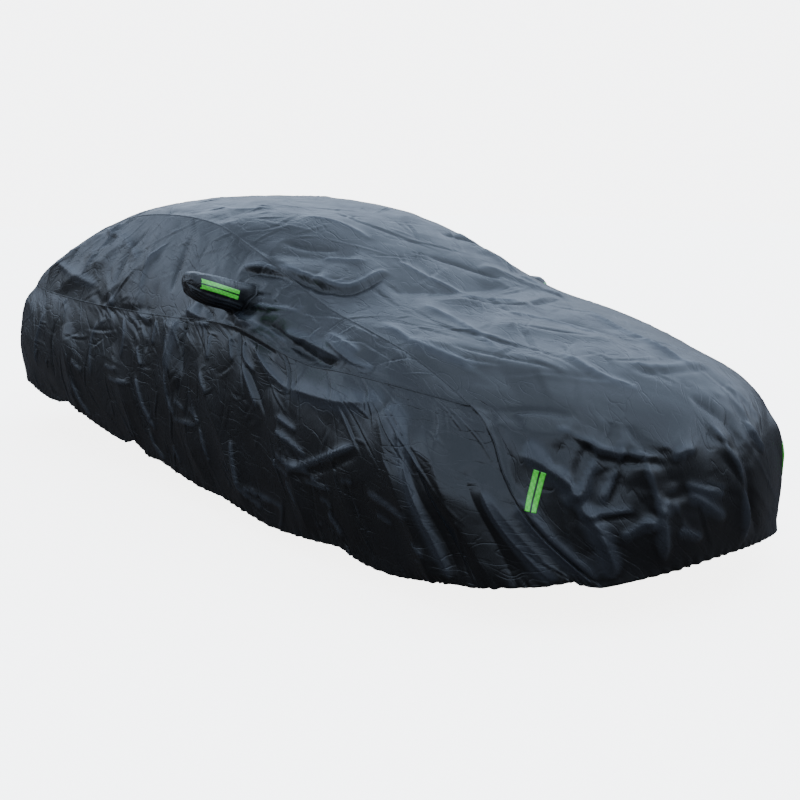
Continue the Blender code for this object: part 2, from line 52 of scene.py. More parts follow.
CENTRE_ROWS = (
    # y_mid,  z_mid, x_seam, y_seam, z_seam, crown (how flat it stays across, an exponent)
    (-2.430, 0.190, 0.520, -2.330, 0.160, 2.0),   # front hem
    (-2.465, 0.400, 0.690, -2.180, 0.370, 2.0),   # nose, low
    (-2.440, 0.600, 0.740, -2.085, 0.530, 2.0),   # nose
    (-2.320, 0.765, 0.730, -2.000, 0.665, 2.2),   # nose, upper edge
    (-2.060, 0.870, 0.710, -1.870, 0.750, 2.6),   # front deck, front, where the belt seam starts
    (-1.680, 0.945, 0.695, -1.540, 0.875, 2.8),   # front deck, middle
    (-1.290, 1.010, 0.680, -1.220, 0.950, 2.8),   # front deck, rear
    (-1.000, 1.100, 0.665, -0.930, 1.010, 2.8),   # foot of the front slope
    (-0.680, 1.240, 0.650, -0.570, 1.130, 2.8),   # front slope
    (-0.320, 1.365, 0.620, -0.210, 1.240, 3.0),   # head of the front slope
    (0.120, 1.425, 0.590, 0.120, 1.318, 3.0),     # top, front
    (0.600, 1.435, 0.580, 0.560, 1.348, 3.0),     # top
    (1.080, 1.400, 0.580, 1.020, 1.325, 3.0),     # top, rear
    (1.560, 1.300, 0.600, 1.460, 1.225, 2.8),     # rear slope
    (1.980, 1.155, 0.640, 1.860, 1.075, 2.6),     # tail
    (2.300, 0.965, 0.690, 2.170, 0.895, 2.4),     # tail edge, where the belt seam ends
    (2.460, 0.640, 0.710, 2.340, 0.600, 2.0),     # rear, low
    (2.430, 0.270, 0.640, 2.350, 0.270, 2.0),     # rear hem
)
FRONT_TIP, REAR_TIP = 4, 15   # rows where the belt seam leaves and meets the long seam
PLAN_CURVE = 2.5              # how flat the panel stays across, seen from above (an exponent)
END_CELLS = 81                # mesh cells from a tip down to the hem
LONG_CELLS = 528              # mesh cells from tip to tip
CROSS_CELLS = 141             # mesh cells across the panel

# The large folds, each a soft ridge (or a trough, if its height is negative) along a bent
# line through three points. Width is the distance at which the fold has all but gone.
FOLDS = (
    # start x, y, z        middle x, y, z        end x, y, z          width  height
    (-0.69, -0.30, 1.16, -0.61, -0.55, 1.16, -0.55, -0.79, 1.11, 0.150, 0.010),  # front slope, sag, right
    (-0.57, -0.72, 1.12, -0.49, -0.85, 1.11, -0.28, -0.82, 1.17, 0.150, 0.010),  # front slope, sag, middle
    (-0.60, -0.40, 1.20, -0.50, -0.60, 1.18, -0.34, -0.72, 1.20, 0.170, -0.012),  # hollow above the sag
    (-0.88, -0.50, 0.92, -0.88, -0.78, 0.87, -0.87, -1.06, 0.81, 0.120, 0.018),  # from the pocket's gather
    (-0.80, -0.66, 0.99, -0.79, -0.95, 0.94, -0.81, -1.38, 0.84, 0.120, 0.018),  # along the front quarter
    (-0.84, -0.60, 0.93, -0.84, -0.90, 0.88, -0.85, -1.20, 0.80, 0.110, -0.014),  # hollow between them
    (0.38, -0.48, 1.25, 0.41, -0.70, 1.19, 0.44, -0.92, 1.10, 0.120, 0.020),     # front slope, left, upper
    (0.22, -0.88, 1.13, 0.33, -1.05, 1.07, 0.42, -1.28, 1.00, 0.120, 0.018),     # front slope, left, lower
    (-0.30, -1.16, 1.04, 0.00, -1.33, 1.00, 0.38, -1.25, 1.01, 0.140, 0.020),    # foot of the front slope
    (-0.42, -1.02, 1.08, -0.10, -1.10, 1.08, 0.20, -1.08, 1.08, 0.160, -0.020),  # hollow at the foot
    (-0.28, -1.50, 0.97, -0.12, -1.70, 0.94, 0.06, -1.90, 0.90, 0.130, 0.014),   # front deck, middle
    (-0.62, -1.42, 0.92, -0.50, -1.76, 0.88, -0.36, -2.06, 0.84, 0.130, 0.016),  # front deck, right
    (-0.20, -2.10, 0.85, 0.02, -2.17, 0.83, 0.30, -2.15, 0.82, 0.120, 0.008),    # nose, upper edge
    (-0.68, -2.04, 0.69, -0.46, -2.27, 0.63, -0.12, -2.42, 0.61, 0.110, 0.014),  # across the nose
    (-0.50, -2.22, 0.52, -0.30, -2.38, 0.48, -0.10, -2.44, 0.46, 0.140, -0.010),  # hollow below it
    (-0.07, -2.39, 0.70, 0.03, -2.46, 0.50, 0.15, -2.44, 0.20, 0.120, 0.014),    # nose, upright
    (0.42, -2.33, 0.66, 0.50, -2.33, 0.47, 0.54, -2.30, 0.20, 0.120, 0.016),     # nose, upright, left
    (-0.38, -2.36, 0.62, -0.35, -2.41, 0.48, -0.28, -2.41, 0.22, 0.110, 0.014),  # nose, upright, right
    (-0.88, -1.56, 0.70, -0.89, -1.74, 0.40, -0.86, -1.84, 0.11, 0.130, 0.024),  # right front quarter, first
    (-0.84, -1.76, 0.68, -0.83, -1.94, 0.40, -0.76, -2.09, 0.14, 0.120, 0.022),  # right front quarter, second
    (-0.87, -1.68, 0.62, -0.87, -1.84, 0.38, -0.81, -1.97, 0.12, 0.110, -0.018),  # hollow between them
    (-0.80, -1.98, 0.54, -0.72, -2.14, 0.34, -0.60, -2.27, 0.16, 0.120, 0.022),  # right front quarter, third
    (-0.88, 0.07, 0.89, -0.90, 0.02, 0.75, -0.93, -0.06, 0.56, 0.120, 0.020),    # right side, pleat
    (-0.91, -0.26, 0.74, -0.93, -0.46, 0.45, -0.90, -0.64, 0.12, 0.140, 0.018),  # right side, middle
    (-0.91, -0.88, 0.70, -0.93, -1.02, 0.42, -0.90, -1.12, 0.12, 0.140, 0.016),  # right side, front
    (-0.91, 0.66, 0.70, -0.93, 0.52, 0.45, -0.90, 0.42, 0.18, 0.150, 0.016),     # right side, behind middle
    (-0.91, 1.28, 0.74, -0.93, 1.20, 0.50, -0.90, 1.16, 0.24, 0.150, 0.016),     # right side, rear
    (-0.76, 1.80, 0.95, -0.71, 1.52, 1.09, -0.64, 1.24, 1.24, 0.150, 0.022),     # rear quarter, upper
    (-0.82, 1.50, 0.92, -0.78, 1.18, 1.02, -0.70, 0.90, 1.17, 0.140, 0.018),     # rear quarter, lower
    (-0.86, 0.90, 0.90, -0.80, 0.66, 1.02, -0.72, 0.44, 1.16, 0.150, 0.014),     # right upper side, middle
    (0.88, -1.54, 0.70, 0.89, -1.74, 0.40, 0.86, -1.86, 0.12, 0.130, 0.022),     # left front quarter, first
    (0.80, -1.98, 0.54, 0.73, -2.13, 0.34, 0.62, -2.26, 0.16, 0.120, 0.020),     # left quarter, second
    (0.91, 0.20, 0.74, 0.93, 0.05, 0.46, 0.90, -0.08, 0.14, 0.150, 0.018),       # left side, middle
    (0.91, 1.10, 0.74, 0.93, 0.96, 0.48, 0.90, 0.90, 0.20, 0.150, 0.016),        # left side, rear
    (0.80, 1.66, 0.93, 0.75, 1.34, 1.05, 0.68, 1.02, 1.20, 0.150, 0.020),        # left rear quarter
    (0.80, -0.66, 0.98, 0.79, -0.95, 0.93, 0.81, -1.36, 0.84, 0.130, 0.016),     # along left front quarter
    (-0.34, 2.38, 0.82, -0.24, 2.46, 0.56, -0.28, 2.43, 0.28, 0.150, 0.020),     # tail, upright
    (0.26, 2.38, 0.82, 0.34, 2.45, 0.56, 0.28, 2.43, 0.28, 0.150, 0.018),        # tail, upright, left
    (-0.44, 1.28, 1.35, 0.00, 1.46, 1.32, 0.42, 1.30, 1.35, 0.180, 0.014),       # rear slope, across
)
FOLD_STEPS = 8                # straight runs that one fold's bent line is measured along
FOLD_END = 0.22               # share of a fold's length over which it fades at each end
LINE_OFF = 0.08               # how far a fold's listed line may lie off the cloth


def along(rows, at):
    """Catmull-Rom curve through the rows, read at row numbers: row 0 is 0, the next is 1."""
    rows = np.asarray(rows, float)
    first = np.clip(np.floor(at).astype(int), 0, len(rows) - 2)
    t = (at - first)[:, None]
    padded = np.vstack([2 * rows[0] - rows[1], rows, 2 * rows[-1] - rows[-2]])
    a, b, c, d = (padded[first + shift] for shift in range(4))
    return 0.5 * (2 * b + (c - a) * t + (2 * a - 5 * b + 4 * c - d) * t**2
                  + (3 * b - a - 3 * c + d) * t**3)


def unit(vectors):
    """The vectors at length one."""
    return vectors / (np.linalg.norm(vectors, axis=-1, keepdims=True) + 1e-12)


def centre_form():
    """The panel's form: across each row, y and z fall from the middle line to the seam.

    x = x_seam s, y = y_mid + (y_seam - y_mid) |s|^PLAN_CURVE, z = z_mid + (z_seam - z_mid)
    |s|^crown, with s from -1 at the right seam to 1 at the left.
    """
    places = np.concatenate([
        np.linspace(0, FRONT_TIP, END_CELLS + 1)[:-1],
        np.linspace(FRONT_TIP, REAR_TIP, LONG_CELLS + 1),
        np.linspace(REAR_TIP, len(CENTRE_ROWS) - 1, END_CELLS + 1)[1:]])
    y_mid, z_mid, x_seam, y_seam, z_seam, crown = along(CENTRE_ROWS, places).T[:, :, None]
    s = np.linspace(-1, 1, CROSS_CELLS + 1)[None, :]
    return np.stack([x_seam * s, y_mid + (y_seam - y_mid) * np.abs(s)**PLAN_CURVE,
                     z_mid + (z_seam - z_mid) * np.abs(s)**crown], axis=-1) - HOLD_POINT


def grid_normals(grid, outward):
    """Unit normal at each grid point, on the side that outward says (1 or -1)."""
    return outward * unit(np.cross(np.gradient(grid, axis=0), np.gradient(grid, axis=1)))


def fold_relief(points, rows, sharpness, normals=None):
    """Height of the folds at the points.

    Each fold is height exp(-(2 distance / width)^sharpness), with the distance measured to
    its bent line in space, and it fades as a quarter sine at both ends. Where normals are
    given, the line is first dropped on to the cloth along the normal at its nearest point.
    """
    relief = np.zeros(points.shape[:-1])
    for row in rows:
        bends = np.array(row[:9]).reshape(3, 3) - HOLD_POINT
        width, height = row[9:]
        room = width + LINE_OFF
        near = ((points > bends.min(axis=0) - room) & (points < bends.max(axis=0) + room)).all(axis=-1)
        local = points[near]
        line = along(bends, np.linspace(0, 2, FOLD_STEPS + 1))
        if normals is not None and len(local):
            gap = line[:, None] - local[None]
            closest = (gap**2).sum(axis=-1).argmin(axis=1)
            outward = normals[near][closest]
            off = (gap[np.arange(len(line)), closest] * outward).sum(axis=-1, keepdims=True)
            line = line - off * outward
        nearest = np.full(len(local), np.inf)
        place = np.zeros(len(local))
        for step in range(FOLD_STEPS):
            run = line[step + 1] - line[step]
            share = np.clip((local - line[step]) @ run / (run @ run), 0, 1)
            gap = np.linalg.norm(local - line[step] - share[:, None] * run, axis=-1)
            place = np.where(gap < nearest, (step + share) / FOLD_STEPS, place)
            nearest = np.minimum(nearest, gap)
        fade = np.sin(np.clip(np.minimum(place, 1 - place) / FOLD_END, 0, 1) * np.pi / 2)
        relief[near] += height * np.exp(-(2 * nearest / width)**sharpness) * fade
    return relief


def spans(rows, columns):
    """The pairs of neighbours on a grid, in eight groups in which no point comes twice."""
    every, left, right = slice(None), slice(0, -1), slice(1, None)
    for first in (0, 1):
        upper_row, lower_row = slice(first, rows - 1, 2), slice(first + 1, rows, 2)
        yield (upper_row, every), (lower_row, every), "along"
        yield (every, slice(first, columns - 1, 2)), (every, slice(first + 1, columns, 2)), "across"
        yield (upper_row, left), (lower_row, right), "diagonal"
        yield (upper_row, right), (lower_row, left), "diagonal"


CARRY_ON = 0.85               # share of its last step that a point moves on with while settling


def settle(form, start, slack_along, slack_across, held, rounds, bend, return_pull):
    """Lets a slack sheet buckle until its threads have their own length again.

    Each thread between two neighbours is 1 + slack times its length on the form. In every
    round both ends of a thread move half of its error, `bend` of each point's offset from
    the mean of its neighbours is taken out, and `return_pull` of its way back to the form.
    Points move on with CARRY_ON of their last step. Held points (0 in `held`) stay.
    """
    slack = {"along": slack_along, "across": slack_across,
             "diagonal": (slack_along + slack_across) / 2}
    groups = []
    for a, b, kind in spans(*form.shape[:2]):
        length = np.linalg.norm(form[b] - form[a], axis=-1)
        length = length * (1 + (slack[kind][a] + slack[kind][b]) / 2)
        groups.append((a, b, length, held[a][..., None], held[b][..., None]))
    free = held[1:-1, 1:-1, None]
    sheet, last = start.copy(), start.copy()
    for _ in range(rounds):
        sheet, last = sheet + (sheet - last) * CARRY_ON * held[..., None], sheet
        sheet = sheet + (form - sheet) * return_pull * held[..., None]
        offset = sheet - form
        mean = (offset[:-2, 1:-1] + offset[2:, 1:-1] + offset[1:-1, :-2] + offset[1:-1, 2:]) / 4
        sheet[1:-1, 1:-1] += (mean - offset[1:-1, 1:-1]) * bend * free
        for a, b, length, free_a, free_b in groups:
            gap = sheet[b] - sheet[a]
            error = 0.5 * (1 - length / (np.linalg.norm(gap, axis=-1) + 1e-9))[..., None] * gap
            sheet[a] += error * free_a
            sheet[b] -= error * free_b
    return sheet


def uneven(at, rng, sizes, smooth=True):
    """Seeded unevenness about 1 high at places (u, v) in metres.

    Random numbers on square grids of the given sizes are read between by smooth steps
    t t (3 - 2 t), or straight, which gives flat facets that meet in sharp creases.
    """
    field = np.zeros(at[0].shape)
    for size in sizes:
        low = [np.floor((place - place.min()) / size).astype(int) for place in at]
        step = [(place - place.min()) / size - first for place, first in zip(at, low)]
        coarse = rng.standard_normal([first.max() + 2 for first in low])
        (i, j), (s, t) = low, [t * t * (3 - 2 * t) for t in step] if smooth else step
        field += ((coarse[i, j] * (1 - s) + coarse[i + 1, j] * s) * (1 - t)
                  + (coarse[i, j + 1] * (1 - s) + coarse[i + 1, j + 1] * s) * t)
    return field / len(sizes)**0.5


FACETS = (
    # turn, length along the crease, distance between creases, height
    (0.35, 0.40, 0.150, 0.0040),
    (-0.55, 0.34, 0.120, 0.0034),
    (1.25, 0.36, 0.130, 0.0036),
    (2.20, 0.20, 0.075, 0.0016),
)
FACET_DRIFT, DRIFT_SIZE = 0.05, 0.40          # how far the facets' places drift, and over what length
PATCH_SIZE = 0.30             # size of the patches in which a layer of facets is strong or weak


def facets(length, depth, rng, scale):
    """Flat facets between straight creases, as in cloth that was packed tight and shaken out.

    Layers of straight-read unevenness, each turned and drawn out its own way, on places that
    a slow unevenness has shifted a little, and each layer patchy.
    """
    drift = FACET_DRIFT * uneven((length, depth), rng, (DRIFT_SIZE,))
    relief = np.zeros(length.shape)
    for turn, long_size, short_size, height in FACETS:
        u = (length + drift) * np.cos(turn) + (depth - drift) * np.sin(turn)
        v = (depth - drift) * np.cos(turn) - (length + drift) * np.sin(turn)
        layer = uneven((u / long_size, v / short_size), rng, (1.0,), smooth=False)
        patch = np.clip(0.75 + 0.55 * uneven((length, depth), rng, (PATCH_SIZE,)), 0.1, 1.6)
        relief += height * layer * patch
    return relief * scale


def finer(coarse, shape):
    """A coarse grid of vectors read at all points of the fine one, by smooth curves."""
    rows = along(coarse.reshape(len(coarse), -1), np.linspace(0, len(coarse) - 1, shape[0]))
    turned = rows.reshape(shape[0], coarse.shape[1], 3).swapaxes(0, 1)
    both = along(turned.reshape(len(turned), -1), np.linspace(0, len(turned) - 1, shape[1]))
    return both.reshape(shape[1], shape[0], 3).swapaxes(0, 1)


def thread_lengths(form):
    """Distance of each point along the panel and across it, in metres of cloth."""
    ahead = np.linalg.norm(np.diff(form, axis=0), axis=-1)
    over = np.linalg.norm(np.diff(form, axis=1), axis=-1)
    length = np.vstack([np.zeros(form.shape[1]), np.cumsum(ahead, axis=0)])
    depth = np.hstack([np.zeros((form.shape[0], 1)), np.cumsum(over, axis=1)])
    return length, depth


LENGTH_SCATTER = 0.45         # how unlike each other the scattered creases' lengths are
HEIGHT_RANGE, WIDTH_RANGE = (0.4, 1.0), (0.7, 1.5)      # shares of the height and width given
CREASE_BOW = 0.05             # how far a crease bows, as a share of half its length
BESIDE = 0.6                  # height of the weaker crease beside each, as a share


def creases(length, depth, rng, count, lean, spread, reach, width, height):
    """Sharp straight creases from packing, scattered over the panel.

    Each is height exp(-distance / width) (1 - t^2)^2, with t from -1 to 1 along its length.
    `lean` is its mean angle from the panel's length, `spread` the angle's scatter. Half of
    them are valleys. Each has a weaker one of the other sign beside it.
    """
    relief = np.zeros(length.shape)
    low = (length.min(), depth.min())
    high = (length.max(), depth.max())
    for _ in range(count):
        middle = rng.uniform(low, high)
        angle = lean + rng.normal() * spread
        half = reach * np.exp(rng.normal() * LENGTH_SCATTER) / 2
        way = np.array([np.cos(angle), np.sin(angle)])
        size = height * rng.uniform(*HEIGHT_RANGE) * rng.choice((-1, 1))
        broad = width * rng.uniform(*WIDTH_RANGE)
        box = np.abs(way) * half + 4 * broad
        near = (np.abs(length - middle[0]) < box[0]) & (np.abs(depth - middle[1]) < box[1])
        u, v = length[near] - middle[0], depth[near] - middle[1]
        t = np.clip((u * way[0] + v * way[1]) / half, -1, 1)
        bow = CREASE_BOW * half * (1 - t**2) * rng.normal()
        side = v * way[0] - u * way[1] - bow
        fade = (1 - t**2)**2
        relief[near] += size * fade * (np.exp(-np.abs(side) / broad)
                                       - BESIDE * np.exp(-np.abs(side - 2 * broad) / broad))
    return relief


def fit_edges(grid, edges, reach):
    """Moves a grid so that its edges lie on given curves, less and less further in.

    `edges` names first or last row or column and its curve; the move fades with the square
    of the share of `reach`, counted in cells, that is left.
    """
    for axis, last, curve in edges:
        turned = grid.swapaxes(0, axis)
        if last:
            turned = turned[::-1]
        steps = np.arange(len(turned))[:, None, None]
        share = np.clip(1 - steps / reach, 0, 1)**2
        turned += (curve - turned[0]) * share
    return grid


def add_object(name, data):
    """A new object in the scene, for a mesh, a light or a camera."""
    added = bpy.data.objects.new(name, data)
    bpy.context.scene.collection.objects.link(added)
    return added


def add_cloth(name, grid, flip, finish, places, wear=None, closed=False, kept=None):
    """A mesh over the grid, with UVs in metres of cloth and, if given, a wear value a point.

    `closed` joins the last column to the first, and `kept` says which faces there are.
    """
    rows, columns = grid.shape[:2]
    around = np.arange(columns if closed else columns - 1)
    start = np.arange(rows - 1)[:, None] * columns
    first, after = start + around, start + (around + 1) % columns
    quads = np.stack([first, first + columns, after + columns, after], axis=-1)
    quads = quads[kept] if kept is not None else quads.reshape(-1, 4)
    if flip:
        quads = quads[:, ::-1]
    used, numbered = np.unique(quads, return_inverse=True)
    mesh = bpy.data.meshes.new(name)
    mesh.vertices.add(len(used))
    mesh.vertices.foreach_set("co", grid.reshape(-1, 3)[used].reshape(-1))
    mesh.loops.add(quads.size)
    mesh.loops.foreach_set("vertex_index", numbered.reshape(-1))
    mesh.polygons.add(len(quads))
    mesh.polygons.foreach_set("loop_start", np.arange(len(quads)) * 4)
    mesh.polygons.foreach_set("loop_total", np.full(len(quads), 4))
    mesh.update(calc_edges=True)
    mesh.shade_smooth()
    uv = np.stack(places, axis=-1).reshape(-1, 2)[quads.reshape(-1)]
    mesh.uv_layers.new(name="cloth").data.foreach_set("uv", uv.reshape(-1))
    if wear is not None:
        layer = mesh.attributes.new("wear", "FLOAT", "POINT")
        layer.data.foreach_set("value", wear.reshape(-1)[used].astype(np.float32))
    piece = add_object(name, mesh)
    mesh.materials.append(finish)
    mesh.validate()
    return piece


def feed(socket, value):
    """Links a socket to another node's output, or sets its own value."""
    if isinstance(value, bpy.types.NodeSocket):
        socket.id_data.links.new(value, socket)
    else:
        socket.default_value = value


def new_finish(name, settings):
    """A material with these settings on its shader; returns it, its node tree and its shader."""
    material = bpy.data.materials.new(name)
    material.use_nodes = True
    shader = material.node_tree.nodes["Principled BSDF"]
    for socket, value in settings.items():
        feed(shader.inputs[socket], value)
    return material, material.node_tree, shader


def add_node(tree, kind, inputs=(), **settings):
    """A node with its settings made, and then its inputs fed, each by its name or number."""
    node = tree.nodes.new("ShaderNode" + kind)
    for setting, value in settings.items():
        setattr(node, setting, value)
    for socket, value in dict(inputs).items():
        feed(node.inputs[socket], value)
    return node


def noise(tree, at, scale, output="Fac", **settings):
    """Cloudy pattern at the given places."""
    return add_node(tree, "TexNoise", {"Vector": at, "Scale": scale, **settings}).outputs[output]


def ranged(tree, value, *limits):
    """The value's range between the first two limits, spread over the last two."""
    return add_node(tree, "MapRange", enumerate((value, *limits))).outputs["Result"]


def reckon(tree, kind, *values):
    """One step of arithmetic on sockets or numbers."""
    return add_node(tree, "Math", enumerate(values), operation=kind).outputs["Value"]


def blended(tree, share, colour, other):
    """Mix of two colours: the first where the share is 0, the other where it is 1."""
    inputs = {"Factor": share, "A": colour, "B": other}
    return add_node(tree, "Mix", inputs, data_type="RGBA").outputs["Result"]


def bump(tree, height, strength, distance, below=None):
    """One layer of relief, on top of the layer below."""
    inputs = {"Height": height, "Strength": strength, "Distance": distance}
    if below is not None:
        inputs["Normal"] = below
    return add_node(tree, "Bump", inputs).outputs["Normal"]


BLACK_DYE, FADED_DYE = (0.0042, 0.0042, 0.0043, 1.0), (0.0066, 0.0068, 0.0074, 1.0)
WORN_GREY = (0.040, 0.045, 0.053, 1.0)
SHEEN_BLUE = (0.68, 0.80, 1.0, 1.0)
SMOOTH, ROUGH = 0.33, 0.43    # roughness of the coating where it is glossy and where it is dull
CLOUD = {"Roughness": 0.55}
CREASE_BEND = (0.20, 0.20, 0.0)               # how far the small creases are bent, in metres of cloth
CRUMPLE_DEPTH, THREAD_DEPTH = 0.0035, 0.0002  # in metres
THREAD_SCALE = 260.0
SMALL_CREASES = (
    # turn, scale along, scale across, thinness, depth in metres
    (0.30, 3.4, 9.0, 0.022, 0.0010),
    (-0.75, 3.9, 11.0, 0.020, 0.0009),
    (1.45, 4.4, 12.0, 0.018, 0.0007),
)


def black_cloth_finish():
    """Coated black taffeta: weave, fine crumple, uneven gloss and a little grey in worn creases.

    The small creases are thin valleys along the middle value of a drawn-out, bent noise.
    """
    material, tree, shader = new_finish("black_cloth", {
        "IOR": 1.55, "Specular IOR Level": 0.50, "Sheen Weight": 0.03, "Sheen Roughness": 0.40,
        "Sheen Tint": SHEEN_BLUE})
    place = add_node(tree, "TexCoord").outputs["Object"]
    threads = add_node(tree, "UVMap", uv_map="cloth").outputs["UV"]
    faded = ranged(tree, noise(tree, place, 2.3, Detail=4.0, **CLOUD), 0.35, 0.70, 0.0, 1.0)
    wear = add_node(tree, "Attribute", attribute_name="wear").outputs["Fac"]
    dye = blended(tree, faded, BLACK_DYE, FADED_DYE)
    worn = ranged(tree, wear, 0.25, 1.0, 0.0, 0.6)
    feed(shader.inputs["Base Color"], blended(tree, worn, dye, WORN_GREY))
    gloss = noise(tree, place, 9.0, Detail=3.0, **CLOUD)
    feed(shader.inputs["Roughness"], ranged(tree, gloss, 0.3, 0.7, SMOOTH, ROUGH))

    drift = noise(tree, threads, 3.0, "Color", Detail=2.0, **CLOUD)
    bent = add_node(tree, "VectorMath", {0: drift, 1: CREASE_BEND, 2: threads},
                    operation="MULTIPLY_ADD").outputs["Vector"]
    relief = None
    for turn, long_scale, short_scale, thin, depth in SMALL_CREASES:
        turned = add_node(tree, "Mapping", {
            "Vector": bent, "Rotation": (0.0, 0.0, turn), "Location": (turn * 3.0, turn * 5.0, 0.0),
            "Scale": (long_scale, short_scale, 1.0)}).outputs["Vector"]
        cloud = noise(tree, turned, 1.0, Detail=1.5, **CLOUD)
        off_middle = reckon(tree, "ABSOLUTE", reckon(tree, "SUBTRACT", cloud, 0.5))
        valley = ranged(tree, off_middle, 0.0, thin, 0.0, 1.0)
        patches = noise(tree, place, 4.0 + turn, Detail=2.0, **CLOUD)
        patches = ranged(tree, patches, 0.42, 0.60, 0.0, 1.0)
        relief = bump(tree, reckon(tree, "MULTIPLY", valley, patches), 1.0, depth, relief)
    crumple = noise(tree, place, 26.0, Detail=5.0, Roughness=0.62, Distortion=0.5)
    relief = bump(tree, crumple, 0.14, CRUMPLE_DEPTH, relief)
    for direction in ("X", "Y"):
        thread = add_node(tree, "TexWave", {"Vector": threads, "Scale": THREAD_SCALE, "Distortion": 0.4},
                          bands_direction=direction).outputs["Fac"]
        relief = bump(tree, thread, 0.10, THREAD_DEPTH, relief)
    feed(shader.inputs["Normal"], relief)
    return material


black_cloth = black_cloth_finish()
CREASE_GAIN = 1.35            # the listed creases stand this much prouder than their listed heights
SOFT, SHARP = 1.35, 1.1       # how a fold's height falls off beside its line (an exponent)

